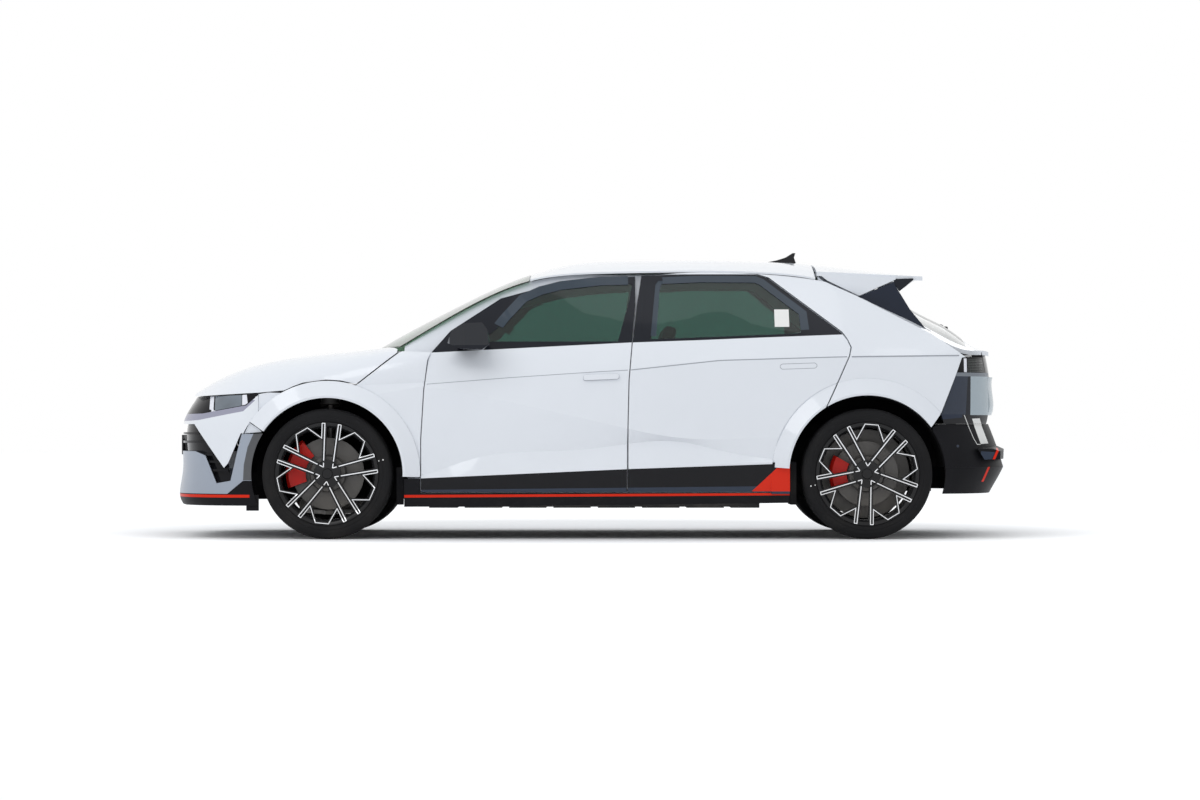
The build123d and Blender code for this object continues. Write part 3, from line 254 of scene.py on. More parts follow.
@dataclass(frozen=True)
class Finish:
    """A procedural finish: base colour with mottling, grain, dust and zones."""

    name: str
    colour: Colour
    roughness: float
    metallic: float = 0.0
    coat: float = 0.0
    specular: float = 0.5
    sheen: float = 0.0
    grain_scale: float = 900.0
    grain_depth: float = 0.05
    mottle: float = 0.06
    mottle_scale: float = 6.0
    dust: float = 0.0
    dust_top: float = 0.6
    dust_colour: Colour = (0.32, 0.28, 0.23)
    weave: float = 0.0
    rings: float = 0.0
    ring_centre: Optional[Place] = None
    zones: tuple[Zone, ...] = ()

    def build(self) -> bpy.types.Material:
        """Makes the finish's material once.

        Returns:
            The material, shared by all pieces with this finish.
        """
        if self.name in bpy.data.materials:
            return bpy.data.materials[self.name]
        material = bpy.data.materials.new(self.name)
        material.use_nodes = True
        tree = Tree(material.node_tree)
        shader = material.node_tree.nodes["Principled BSDF"]
        where = tree.add("ShaderNodeTexCoord").outputs["Object"]
        grain = tree.group(GROUPS["grain"], Vector=where, Scale=self.grain_scale, Mottle_Scale=self.mottle_scale)
        darker = tuple(c * (1 - self.mottle) for c in self.colour)
        lighter = tuple(min(1.0, c * (1 + self.mottle)) for c in self.colour)
        colour = tree.mix(grain.outputs["Mottle"], (*darker, 1), (*lighter, 1))
        rough = tree.math("ADD", self.roughness - 0.04, tree.math("MULTIPLY", grain.outputs["Mottle"], 0.08))
        height, depth = grain.outputs["Height"], self.grain_depth
        if self.weave:
            weave = tree.group(GROUPS["weave"], Vector=where, Threads=self.weave)
            colour = tree.mix(weave.outputs["Thread"], (*[c * 0.55 for c in self.colour], 1), colour)
            height, depth = weave.outputs["Height"], 0.5
        if self.rings:
            place = where
            if self.ring_centre:
                mapping = tree.add("ShaderNodeMapping", vector_type="POINT")
                mapping.inputs["Location"].default_value = [-c for c in self.ring_centre]
                tree.feed(mapping.inputs["Vector"], where)
                place = mapping.outputs[0]
            ring = tree.group(GROUPS["rings"], Vector=place, Rings=self.rings)
            colour = tree.mix(ring.outputs["Ring"], colour, (*[c * 0.7 for c in self.colour], 1))
            height, depth = ring.outputs["Height"], 0.25
        metal = self.metallic
        if self.zones:
            colour, rough, metal, bare = self.paint_zones(tree, where, colour, rough)
            if self.coat:
                tree.feed(shader.inputs["Coat Weight"], tree.math("MULTIPLY", bare, self.coat))
        if self.dust:
            dust = tree.group(GROUPS["dust"], Vector=where, Top=self.dust_top, Amount=self.dust)
            colour = tree.mix(dust.outputs["Mask"], colour, (*self.dust_colour, 1))
            rough = tree.math("MAXIMUM", rough, tree.math("MULTIPLY", dust.outputs["Mask"], 0.9))
        tree.feed(shader.inputs["Base Color"], colour)
        tree.feed(shader.inputs["Roughness"], rough)
        tree.feed(shader.inputs["Metallic"], metal)
        shader.inputs["Specular IOR Level"].default_value = self.specular
        if not (self.zones and self.coat):
            shader.inputs["Coat Weight"].default_value = self.coat
        shader.inputs["Coat Roughness"].default_value = 0.04
        shader.inputs["Sheen Weight"].default_value = self.sheen
        if depth:
            bump = tree.add("ShaderNodeBump")
            bump.inputs["Strength"].default_value = depth
            bump.inputs["Distance"].default_value = 0.0006
            tree.feed(bump.inputs["Height"], height)
            tree.feed(shader.inputs["Normal"], bump.outputs[0])
        return material

    def paint_zones(
        self, tree: Tree, where: object, colour: object, rough: object
    ) -> tuple[object, object, object, object]:
        """Lays each zone's colour, roughness and metal over the base.

        Args:
            tree: the material's tree.
            where: object coordinates.
            colour: base colour so far.
            rough: base roughness so far.
        Returns:
            Colour, roughness and metal with the zones in, and the share of the clear coat left.
        """
        parts = tree.add("ShaderNodeSeparateXYZ")
        tree.feed(parts.inputs[0], where)
        join = tree.add("ShaderNodeCombineXYZ")
        tree.feed(join.inputs[0], parts.outputs["X"])
        tree.feed(join.inputs[1], tree.math("ABSOLUTE", parts.outputs["Y"]))
        tree.feed(join.inputs[2], parts.outputs["Z"])
        metal: object = self.metallic
        bare: object = 1.0
        for zone in self.zones:
            mask: object = 1.0
            for nx, ny, nz, d in zone.planes:
                dot = tree.add("ShaderNodeVectorMath", operation="DOT_PRODUCT")
                tree.feed(dot.inputs[0], join.outputs[0])
                dot.inputs[1].default_value = (nx, ny, nz)
                inside = tree.math("LESS_THAN", dot.outputs["Value"], d)
                mask = inside if mask == 1.0 else tree.math("MULTIPLY", mask, inside)
            colour = tree.mix(mask, colour, (*zone.colour, 1))
            keep = tree.math("SUBTRACT", 1.0, mask)
            rough = tree.math("ADD", tree.math("MULTIPLY", rough, keep), tree.math("MULTIPLY", mask, zone.roughness))
            metal = tree.math("ADD", tree.math("MULTIPLY", metal, keep), tree.math("MULTIPLY", mask, zone.metallic))
            bare = tree.math("MULTIPLY", bare, tree.math("SUBTRACT", 1.0, tree.math("MULTIPLY", mask, 0.85)))
        return colour, rough, metal, bare


@dataclass(frozen=True)
class Glass:
    """Tinted glass; the green of the side and screen glass is partly tint and partly a painted reflection."""

    name: str
    tint: Colour
    roughness: float = 0.0

    def build(self) -> bpy.types.Material:
        """Makes the glass once and returns its material."""
        if self.name in bpy.data.materials:
            return bpy.data.materials[self.name]
        material = bpy.data.materials.new(self.name)
        material.use_nodes = True
        tree = Tree(material.node_tree)
        shader = material.node_tree.nodes["Principled BSDF"]
        where = tree.add("ShaderNodeTexCoord").outputs["Object"]
        grain = tree.group(GROUPS["grain"], Vector=where, Scale=3.0, Mottle_Scale=2.0)
        low, high = (tuple(c * f for c in self.tint) for f in (0.94, 1.0))
        tree.feed(shader.inputs["Base Color"], tree.mix(grain.outputs["Mottle"], (*low, 1), (*high, 1)))
        shader.inputs["Roughness"].default_value = self.roughness
        shader.inputs["Transmission Weight"].default_value = 1.0
        shader.inputs["IOR"].default_value = 1.45
        return material


AnyFinish = Union[Finish, Glass]

RED: Colour = (0.72, 0.030, 0.012)
FACET_REFLECTION: Colour = (0.040, 0.052, 0.078)
WHITE: Colour = (0.80, 0.83, 0.88)
NAVY: Colour = (0.010, 0.012, 0.018)

HATCH_SHADE_GREY: Colour = (0.36, 0.42, 0.46)
NOSE_BAND_SHADE: Colour = (0.34, 0.34, 0.43)
DARK: Colour = (0.012, 0.012, 0.014)
FIN_NAVY: Colour = (0.010, 0.016, 0.032)


def far_out(zone: Zone, least: float) -> Zone:
    """The part of a zone further from the centre plane than a distance in metres."""
    return Zone(((0.0, -1.0, 0.0, -least), *zone.planes), zone.colour, zone.roughness, zone.metallic)


PAINT = Finish(
    "body paint", WHITE, 0.36, coat=1.0, specular=0.2, grain_scale=260.0, grain_depth=0.012, mottle=0.012, dust=0.10,
    dust_top=0.5)
# The grey band below the lamps is painted shade on the white nose paint.
NOSE_PAINT = replace(PAINT, name="nose paint", zones=(
    side_zone([(-2420, 650), (-2215, 662), (-1951, 711), (-1883, 773), (-2420, 773)], NOSE_BAND_SHADE, 0.3),))
# The pale grey zone is painted shade on the white paint of the lower hatch.
TAILGATE_PAINT = replace(PAINT, name="tailgate paint", zones=(
    side_zone([(2100, 600), (2400, 600), (2400, 906), (2100, 906)], HATCH_SHADE_GREY, 0.24, 0.3),
    Zone((
        *side_zone([(1490, 1060), (1900, 1060), (1900, 1460), (1490, 1460)], FIN_NAVY, 0.3).planes,
        (0.0, -1.0, 0.0, -0.5755), (0.0, 1.0, 0.0, 0.5945)), FIN_NAVY, 0.3)))
FRAME_PAINT = Finish("inner body paint", (0.70, 0.73, 0.78), 0.42, coat=0.4, grain_depth=0.03, mottle=0.03)
LOWER_BLACK = Finish(
    "lower body black", DARK, 0.42, specular=0.07, grain_scale=1400.0, grain_depth=0.10, mottle=0.25, dust=0.02,
    dust_top=0.4)
DOOR_TRIM = Finish("door trim black", NAVY, 0.14, coat=0.12, specular=0.14, grain_depth=0.0, mottle=0.2, zones=(
    side_zone([(-1100, 200), (1200, 200), (1200, 500), (-1100, 500)], DARK, 0.40),
    # Blue-grey band: painted reflection on the cladding's facet.
    side_zone([(-968, 250), (1085, 250), (1085, 296), (-968, 274)], FACET_REFLECTION, 0.30),
    # Slightly lighter mirror housing: painted highlight.
    far_out(side_zone([(-840, 1075), (-560, 1075), (-560, 1230), (-840, 1230)], (0.035, 0.037, 0.042), 0.16), 0.93),
    side_zone([(874, 266), (1092, 266), (1092, 440), (1060, 440)], RED, 0.30)))
SKIRT_BLACK = replace(LOWER_BLACK, name="skirt black", zones=(
    side_zone([(-1056, 231), (1090, 244), (1090, 257), (-1056, 246)], RED, 0.34),))
SPLITTER_BLACK = replace(LOWER_BLACK, name="splitter black", zones=(
    side_zone([(-2400, 231), (-1915, 231), (-1915, 247), (-2400, 247)], RED, 0.32),))
DIFFUSER_BLACK = replace(LOWER_BLACK, name="diffuser black", zones=(
    # Navy patch: painted reflection on the diffuser's facet.
    side_zone([(2149, 429), (2206, 420), (2235, 483), (2157, 488)], FACET_REFLECTION, 0.28),
    far_out(side_zone([(2166, 317), (2180, 317), (2262, 506), (2248, 506)], RED, 0.3), 0.66)))
BUMPER_BLACK = replace(LOWER_BLACK, name="rear bumper black", zones=(
    side_zone([(1903, 646), (2065, 674), (2065, 694), (1919, 694)], FIN_NAVY, 0.3),))
GLOSS_BLACK = Finish("gloss black", (0.008, 0.008, 0.010), 0.12, specular=0.14, grain_depth=0.01, mottle=0.2)
SATIN_GREY = Finish("satin grey", (0.32, 0.36, 0.43), 0.36, metallic=0.2, coat=0.3, mottle=0.05, dust=0.1, zones=(
    # Darker right part of the grey blade: painted shade.
    side_zone(
        [(-1951, 327), (-1750, 327), (-1750, 612), (-1891, 590), (-1926, 510), (-1947, 412)],
        (0.075, 0.078, 0.085), 0.45),))
CORNER_GREY = Finish("corner blue grey", (0.026, 0.035, 0.056), 0.26, coat=0.2, specular=0.25, mottle=0.08, zones=(
    side_zone([(1880, 600), (2400, 600), (2400, 692), (1880, 692)], DARK, 0.36),
    side_zone([(1880, 660), (2050, 676), (2050, 694), (1880, 694)], (0.020, 0.028, 0.050), 0.3),
    side_zone([(2014, 906), (2400, 906), (2400, 930), (2014, 930)], (0.20, 0.22, 0.25), 0.3),
    side_zone([(2070, 690), (2099, 690), (2101, 906), (2084, 906)], NAVY, 0.3),
    # Pale grey: painted shade on the white lower hatch.
    side_zone([(2099, 690), (2400, 690), (2400, 906), (2101, 906)], HATCH_SHADE_GREY, 0.24, 0.3)))
LINER_FELT = Finish(
    "liner felt", (0.008, 0.008, 0.009), 0.95, specular=0.05, grain_scale=500.0, grain_depth=0.5, mottle=0.4, dust=0.04,
    dust_top=0.9)
ROOF_PAINT = replace(PAINT, name="roof paint", zones=(
    Zone((
        *side_zone([(1000, 1574), (1176, 1568), (1176, 1640), (1000, 1640)], DARK, 0.3).planes,
        (0.0, 1.0, 0.0, 0.0145)), DARK, 0.3),))
ALLOY = Finish(
    "cast alloy", (0.42, 0.43, 0.44), 0.48, metallic=0.9, grain_scale=350.0, grain_depth=0.3, mottle=0.12, dust=0.3)
TRAY = Finish("underbody tray", (0.03, 0.03, 0.032), 0.6, grain_scale=350.0, grain_depth=0.3, mottle=0.12, dust=0.3)
IRON = Finish(
    "cast iron", (0.16, 0.155, 0.15), 0.55, metallic=0.8, grain_scale=420.0, grain_depth=0.35, mottle=0.25, dust=0.3)
CALIPER = Finish(
    "caliper red", (0.74, 0.014, 0.008), 0.34, coat=0.1, specular=0.2, grain_scale=500.0, grain_depth=0.06, mottle=0.08,
    dust=0.1)
BLACK_RIM = Finish(
    "rim black", (0.008, 0.008, 0.009), 0.26, coat=0.15, specular=0.2, mottle=0.2, grain_depth=0.02, dust=0.01)
MACHINED = Finish(
    "machined rim face", (0.78, 0.79, 0.81), 0.24, metallic=1.0, grain_scale=1600.0, grain_depth=0.08, mottle=0.05)
STEEL = Finish("bright steel", (0.62, 0.62, 0.63), 0.25, metallic=1.0, grain_depth=0.05)
RUBBER = Finish(
    "tyre rubber", (0.013, 0.013, 0.014), 0.74, specular=0.12, grain_scale=700.0, grain_depth=0.25, mottle=0.3,
    dust=0.03, dust_top=0.8)
SOFT_TRIM = Finish("soft trim", (0.025, 0.026, 0.028), 0.7, grain_scale=700.0, grain_depth=0.5, mottle=0.15)
LEATHER = Finish("leather", (0.020, 0.020, 0.022), 0.5, grain_scale=450.0, grain_depth=0.6, mottle=0.2, sheen=0.1)
CARPET = Finish("carpet", (0.03, 0.03, 0.032), 0.95, specular=0.1, grain_scale=1200.0, grain_depth=0.9, mottle=0.3)
CLOTH = Finish("seat cloth", (0.05, 0.052, 0.058), 0.85, sheen=0.4, weave=160.0, mottle=0.1)
PLATE = Finish("blank plate", DARK, 0.35, coat=0.3, mottle=0.1)
PAPER = Finish("blank paper", (0.86, 0.86, 0.84), 0.7, mottle=0.03, mottle_scale=40.0)
BRIGHT_PLASTIC = Finish("bright lamp block", (0.84, 0.85, 0.92), 0.25, coat=1.0, mottle=0.04, mottle_scale=20.0)
LAMP_BOWL = Finish("lamp bowl", (0.15, 0.18, 0.215), 0.12, metallic=0.6, coat=1.0, mottle=0.5, mottle_scale=9.0)
LAMP_RIB = Finish("lamp rib", (0.030, 0.042, 0.036), 0.2, coat=0.2, mottle=0.2)
GLASS_EDGE = Finish(
    "glass over inner trim", (0.030, 0.046, 0.066), 0.07, coat=0.3, specular=0.2, mottle=0.3, mottle_scale=3.0)
# Grey for painted shade along the shoulder crease, and for the gap lines round the handles.
CREASE_SHADE = Finish("crease paint", (0.34, 0.36, 0.40), 0.4, mottle=0.05)
# The green of side and screen glass is partly their tint, partly painted reflection of the surroundings.
SIDE_GLASS = Glass("side glass", (0.10, 0.25, 0.21))
SCREEN_GLASS = Glass("screen glass", (0.13, 0.26, 0.16))
REAR_GLASS = Glass("rear glass", (0.06, 0.09, 0.09))


# ------------------------------------------------------------------ meshes
def outward(points: Sequence[Sequence[float]], faces: Sequence[Sequence[int]]) -> list[tuple[int, ...]]:
    """Faces of a closed shape, all turned round where they would point inwards.

    Args:
        points: vertex places.
        faces: vertex numbers of each face, turning the same way all over.
    Returns:
        The faces, pointing outwards.
    """
    places = [Vector(p) for p in points]
    volume = sum(places[f[0]].dot(places[b].cross(places[c])) for f in faces for b, c in zip(f[1:], f[2:]))
    return [tuple(reversed(f)) if volume < 0 else tuple(f) for f in faces]


def mesh_piece(
    name: str, points: Sequence[Sequence[float]], faces: Sequence[Sequence[int]], smooth: bool = False
) -> bpy.types.Object:
    """Makes a mesh object from points in metres.

    Args:
        name: the piece's name.
        points: vertex places.
        faces: vertex numbers of each face.
        smooth: whether faces are shaded smooth.
    Returns:
        The object, linked to the scene.
    """
    mesh = bpy.data.meshes.new(name)
    mesh.from_pydata([tuple(p) for p in points], [], outward(points, faces))
    mesh.polygons.foreach_set("use_smooth", [smooth] * len(mesh.polygons))
    mesh.update()
    made = bpy.data.objects.new(name, mesh)
    bpy.context.scene.collection.objects.link(made)
    return made


def mirrored(points: Sequence[Sequence[float]], faces: Sequence[Sequence[int]], side: Side) -> Shape:
    """Left-hand points and faces turned to the given side."""
    if side is Side.LEFT:
        return list(points), list(faces)
    return [(x, -y, z) for x, y, z in points], [tuple(reversed(f)) for f in faces]


def dress(piece: bpy.types.Object, finish: AnyFinish, body: str) -> bpy.types.Object:
    """Gives a new piece its finish, body and record slot."""
    piece.data.materials.clear()
    piece.data.materials.append(finish.build())
    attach(piece, body)
    log.info("piece %s on %s, %s", piece.name, body, finish.name)
    return piece


def add_piece(name: str, shape: Shape, finish: AnyFinish, body: str) -> bpy.types.Object:
    """Makes a piece from its points and faces and dresses it."""
    return dress(mesh_piece(name, *shape), finish, body)


def plate_shape(outline: Outline, low_y: float, high_y: float) -> Shape:
    """Flat plate with an (x, z) outline in millimetres, between two values of y in metres.

    Returns:
        Points and faces in metres.
    """
    n = len(outline)
    points = [(x * MM, y, z * MM) for y in (low_y, high_y) for x, z in outline]
    faces = [tuple(range(n)), tuple(range(2 * n - 1, n - 1, -1))] + [
        (i, n + i, n + (i + 1) % n, (i + 1) % n) for i in range(n)
    ]
    return points, faces


def turned(profile: Outline, segments: int, centre: Place) -> Shape:
    """Closed profile of (radius, y) in millimetres turned about a wheel axis through centre.

    Returns:
        Points and faces in metres.
    """
    points, faces, n = [], [], len(profile)
    for k in range(segments):
        a = 2 * math.pi * k / segments
        for r, y in profile:
            points.append((
                centre[0] + r * math.cos(a) * MM, centre[1] + y * MM, centre[2] + r * math.sin(a) * MM
            ))
    for k in range(segments):
        j = (k + 1) % segments
        for i in range(n):
            m = (i + 1) % n
            faces.append((k * n + i, k * n + m, j * n + m, j * n + i))
    return points, faces


def ribbon(
    path: Sequence[Vector], normals: Sequence[Vector], width: float, lift: float, sink: float, closed: bool = False
) -> Shape:
    """Flat strip that follows a path on a surface, with mitred corners.

    Args:
        path: points on the surface.
        normals: the surface's outward normals there.
        width: the strip's width.
        lift: height of its face above the surface.
        sink: depth of its back under the surface.
        closed: whether the last point joins the first.
    Returns:
        Points and faces.
    """
    count = len(path)
    points = []
    for i, (p, n) in enumerate(zip(path, normals)):
        before = path[i - 1] if i or closed else p
        after = path[(i + 1) % count] if i < count - 1 or closed else p
        a, b = (p - before), (after - p)
        a = a.normalized() if a.length > 1e-9 else b.normalized()
        b = b.normalized() if b.length > 1e-9 else a
        along = (a + b).normalized()
        across = n.cross(along).normalized()
        reach = width / 2 / max(0.35, across.dot(n.cross(b).normalized()))
        for side, level in ((-1, -sink), (-1, lift), (1, lift), (1, -sink)):
            points.append(p + across * side * reach + n * level)
    faces = []
    for i in range(count if closed else count - 1):
        a, b = i * 4, ((i + 1) % count) * 4
        for k in range(4):
            m = (k + 1) % 4
            faces.append((a + k, b + k, b + m, a + m))
    if not closed:
        last = (count - 1) * 4
        faces += [(0, 1, 2, 3), (last + 3, last + 2, last + 1, last)]
    return points, faces


def joined(parts: Sequence[Shape]) -> Shape:
    """Several point-and-face sets as one."""
    points, faces = [], []
    for p, f in parts:
        base = len(points)
        points += list(p)
        faces += [tuple(base + i for i in face) for face in f]
    return points, faces


def taken(work: bmesh.types.BMesh) -> Shape:
    """Points and faces of a bmesh, which is then freed."""
    work.verts.index_update()
    made = [tuple(v.co) for v in work.verts], [tuple(v.index for v in f.verts) for f in work.faces]
    work.free()
    return made


def box_shape(low: Place, high: Place, bevel: float = 0.0) -> Shape:
    """Box between two corners in metres with bevelled edges, as points and faces."""
    work = bmesh.new()
    bmesh.ops.create_cube(work, size=1.0)
    for v in work.verts:
        v.co = Vector([low[k] + (v.co[k] + 0.5) * (high[k] - low[k]) for k in range(3)])
    if bevel:
        bmesh.ops.bevel(work, geom=list(work.edges), offset=bevel, segments=2, affect="EDGES", profile=0.6)
    return taken(work)


@dataclass(frozen=True)
class SideBox:
    """Box on each side of the car: spans along x and z and away from the centre plane, in metres."""

    x: Span
    y: Span
    z: Span
    bevel: float = 0.004

    def shape(self, side: Side) -> Shape:
        """Points and faces of the box on one side."""
        low, high = sorted(side.value * d for d in self.y)
        return box_shape((self.x[0], low, self.z[0]), (self.x[1], high, self.z[1]), self.bevel)


def side_plate(outline: Outline, depths: Span, side: Side) -> Shape:
    """Flat plate on one side of the car, between two distances from the centre plane in metres."""
    low, high = sorted(side.value * d for d in depths)
    return plate_shape(outline, low, high)


class Skin:
    """Outer surface of some CAD nodes, for laying pieces on it."""

    def __init__(self, *nodes: str) -> None:
        """Gathers the nodes' triangles into one search tree."""
        points: list = []
        faces: list = []
        for node in nodes:
            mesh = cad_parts[node].data
            base = len(points)
            points += [v.co.copy() for v in mesh.vertices]
            faces += [tuple(base + i for i in p.vertices) for p in mesh.polygons]
        self.search = BVHTree.FromPolygons(points, faces)

    def cast(self, origin: Vector, direction: Vector) -> Hit:
        """First point met from origin, and its outward normal."""
        place, normal, _, _ = self.search.ray_cast(origin, direction)
        if place is None:
            place, normal, _, _ = self.search.find_nearest(origin + direction * 0.4)
        if normal.dot(direction) > 0:
            normal = -normal
        return place, normal

    def side(self, x: float, z: float, side: Side) -> Hit:
        """Point of the car's side at (x, z) in millimetres."""
        return self.cast(Vector((x * MM, side.value * 1.3, z * MM)), Vector((0, -side.value, 0)))

    def on(self, side: Side) -> Where:
        """Gives the surface point at (x, z) on one side of the car."""
        return lambda x, z: self.side(x, z, side)

    def end(self, y: float, z: float, sign: int) -> Hit:
        """Point of the nose (sign -1) or tail (sign 1) at (y, z) in millimetres."""
        return self.cast(Vector((sign * 3.0, y * MM, z * MM)), Vector((-sign, 0, 0)))

    def top(self, x: float, y: float) -> Hit:
        """Point of the upper surface at (x, y) in millimetres."""
        return self.cast(Vector((x * MM, y * MM, 2.2)), Vector((0, 0, -1)))


def fill(outline: Outline, step: float = 12.0) -> list[Point]:
    """Outline with points added along its edges."""
    made: list[Point] = []
    for a, b in zip(outline, [*outline[1:], outline[0]]):
        n = max(1, round(math.hypot(b[0] - a[0], b[1] - a[1]) / step))
        made += [(a[0] + (b[0] - a[0]) * i / n, a[1] + (b[1] - a[1]) * i / n) for i in range(n)]
    return made


def fill_open(places: Outline, step: float) -> list[Point]:
    """Open path with points added along its edges."""
    made: list[Point] = []
    for a, b in zip(places, places[1:]):
        made += fill([a, b], step)[: max(1, round(math.dist(a, b) / step))]
    return [*made, places[-1]]


def laid_ribbon(
    places: Outline, where: Where, width: float, lift: float = 0.6, closed: bool = False, step: float = 25.0
) -> Shape:
    """Strip laid on a surface along 2-D places in millimetres."""
    dense = fill(places, step) if closed else fill_open(places, step)
    hits = [where(*p) for p in dense]
    return ribbon([h[0] for h in hits], [h[1] for h in hits], width * MM, lift * MM, 0.001, closed)


def laid_patch(outline: Outline, where: Where, lift: float, sink: float = 1.0, cell: float = 14.0) -> Shape:
    """Closed plate laid on a surface inside a convex anticlockwise 2-D outline in millimetres.

    Args:
        outline: convex outline.
        where: gives the surface point and normal at a 2-D place.
        lift: height of the plate's face above the surface.
        sink: depth of its back under the surface.
        cell: grid size.
    Returns:
        Points and faces.
    """
    work = bmesh.new()
    us, vs = [p[0] for p in outline], [p[1] for p in outline]
    nu, nv = (max(1, round((max(c) - min(c)) / cell)) for c in (us, vs))
    grid = [
        [
            work.verts.new((min(us) + (max(us) - min(us)) * i / nu, min(vs) + (max(vs) - min(vs)) * j / nv, 0))
            for j in range(nv + 1)
        ]
        for i in range(nu + 1)
    ]
    for i in range(nu):
        for j in range(nv):
            work.faces.new((grid[i][j], grid[i + 1][j], grid[i + 1][j + 1], grid[i][j + 1]))
    for a, b in zip(outline, [*outline[1:], outline[0]]):
        geometry = list(work.verts) + list(work.edges) + list(work.faces)
        bmesh.ops.bisect_plane(
            work, geom=geometry, plane_co=(*a, 0), plane_no=(b[1] - a[1], a[0] - b[0], 0), clear_outer=True, dist=1e-4)
    bmesh.ops.remove_doubles(work, verts=list(work.verts), dist=0.01)
    hits = {v: where(v.co.x, v.co.y) for v in work.verts}
    shell = bmesh.ops.extrude_face_region(work, geom=list(work.faces))
    twins = [g for g in shell["geom"] if isinstance(g, bmesh.types.BMVert)]
    key = {(round(v.co.x, 3), round(v.co.y, 3)): hit for v, hit in hits.items()}
    lower = set(work.verts) - set(twins)
    for v in work.verts:
        place, normal = key[(round(v.co.x, 3), round(v.co.y, 3))]
        v.co = place + normal * (-sink if v in lower else lift) * MM
    bmesh.ops.recalc_face_normals(work, faces=list(work.faces))
    return taken(work)


def soften(piece: bpy.types.Object, degrees: float) -> None:
    """Gives a CAD node's corners smooth normals wherever its faces meet at less than an angle."""
    mesh = piece.data
    loops = len(mesh.loops)
    if loops != 3 * len(mesh.polygons):
        return
    places = np.zeros(len(mesh.vertices) * 3, np.float32)
    mesh.vertices.foreach_get("co", places)
    places = places.reshape(-1, 3).astype(float)
    corner = np.zeros(loops, np.int32)
    mesh.loops.foreach_get("vertex_index", corner)
    spots = places[corner]
    tri = spots.reshape(-1, 3, 3)
    cross = np.cross(tri[:, 1] - tri[:, 0], tri[:, 2] - tri[:, 0])
    size = np.linalg.norm(cross, axis=1)
    flat = cross / np.maximum(size, 1e-18)[:, None]
    _, group = np.unique(np.round(spots, 5), axis=0, return_inverse=True)
    group = group.ravel()
    order = np.argsort(group, kind="stable")
    counts = np.bincount(group)
    starts = np.concatenate([[0], np.cumsum(counts)[:-1]])
    repeats = counts[group]
    first = np.repeat(np.arange(loops), repeats)
    offset = np.arange(repeats.sum()) - np.repeat(np.cumsum(repeats) - repeats, repeats)
    second = order[np.repeat(starts[group], repeats) + offset]
    near = np.einsum("ij,ij->i", flat[first // 3], flat[second // 3]) > math.cos(math.radians(degrees))
    total = np.zeros((loops, 3))
    np.add.at(total, first[near], flat[second[near] // 3] * size[second[near] // 3][:, None])
    length = np.linalg.norm(total, axis=1)
    bad = length < 1e-15
    total[bad] = flat[np.arange(loops)[bad] // 3]
    length[bad] = 1.0
    mesh.polygons.foreach_set("use_smooth", [True] * len(mesh.polygons))
    mesh.normals_split_custom_set((total / length[:, None]).tolist())


# ------------------------------------------------------------------ repeats
def ring_tree() -> bpy.types.NodeTree:
    """Geometry tree that repeats a shape round an axis along Y."""
    tree = bpy.data.node_groups.new("Round the axle", "GeometryNodeTree")
    face = tree.interface
    for name, kind in (
        ("Shape", "NodeSocketGeometry"), ("Count", "NodeSocketInt"), ("Start", FLOAT), ("Centre", VECTOR),
        ("Finish", "NodeSocketMaterial")
    ):
        face.new_socket(name, in_out="INPUT", socket_type=kind)
    face.new_socket("Result", in_out="OUTPUT", socket_type="NodeSocketGeometry")
    made = Tree(tree)
    source, sink = made.add("NodeGroupInput"), made.add("NodeGroupOutput")
    spots = made.add("GeometryNodePoints")
    made.feed(spots.inputs["Count"], source.outputs["Count"])
    made.feed(spots.inputs["Position"], source.outputs["Centre"])
    index = made.add("GeometryNodeInputIndex").outputs[0]
    turn = made.math("DIVIDE", math.tau, source.outputs["Count"])
    angle = made.math("MULTIPLY_ADD", index, turn)
    made.feed(angle.node.inputs[2], source.outputs["Start"])
    spin = made.add("ShaderNodeCombineXYZ")
    made.feed(spin.inputs["Y"], made.math("MULTIPLY", angle, -1.0))
    copies = made.add("GeometryNodeInstanceOnPoints")
    made.feed(copies.inputs["Points"], spots.outputs[0])
    made.feed(copies.inputs["Instance"], source.outputs["Shape"])
    made.feed(copies.inputs["Rotation"], spin.outputs[0])
    real = made.add("GeometryNodeRealizeInstances")
    made.feed(real.inputs[0], copies.outputs[0])
    finish = made.add("GeometryNodeSetMaterial")
    made.feed(finish.inputs["Geometry"], real.outputs[0])
    made.feed(finish.inputs["Material"], source.outputs["Finish"])
    made.feed(sink.inputs[0], finish.outputs[0])
    return tree


RING = ring_tree()


def round_axle(name: str, shape: Shape, count: int, start: float, centre: Place, finish: Finish) -> bpy.types.Object:
    """Repeats a shape made about the origin round an axle.

    Args:
        name: the piece's name.
        shape: points and faces of one item about the origin.
        count: number of items.
        start: angle of the first in radians.
        centre: the wheel's centre.
        finish: the items' finish.
    Returns:
        One plain mesh object.
    """
    seed = mesh_piece(name, *shape)
    modifier = seed.modifiers.new("items", "NODES")
    modifier.node_group = RING
    values = {"Count": count, "Start": start, "Centre": centre, "Finish": finish.build()}
    for item in RING.interface.items_tree:
        if item.name in values:
            modifier[item.identifier] = values[item.name]
    bpy.context.view_layer.update()
    whole = bpy.data.meshes.new_from_object(seed.evaluated_get(bpy.context.evaluated_depsgraph_get()))
    seed.modifiers.clear()
    seed.data = whole
    return seed


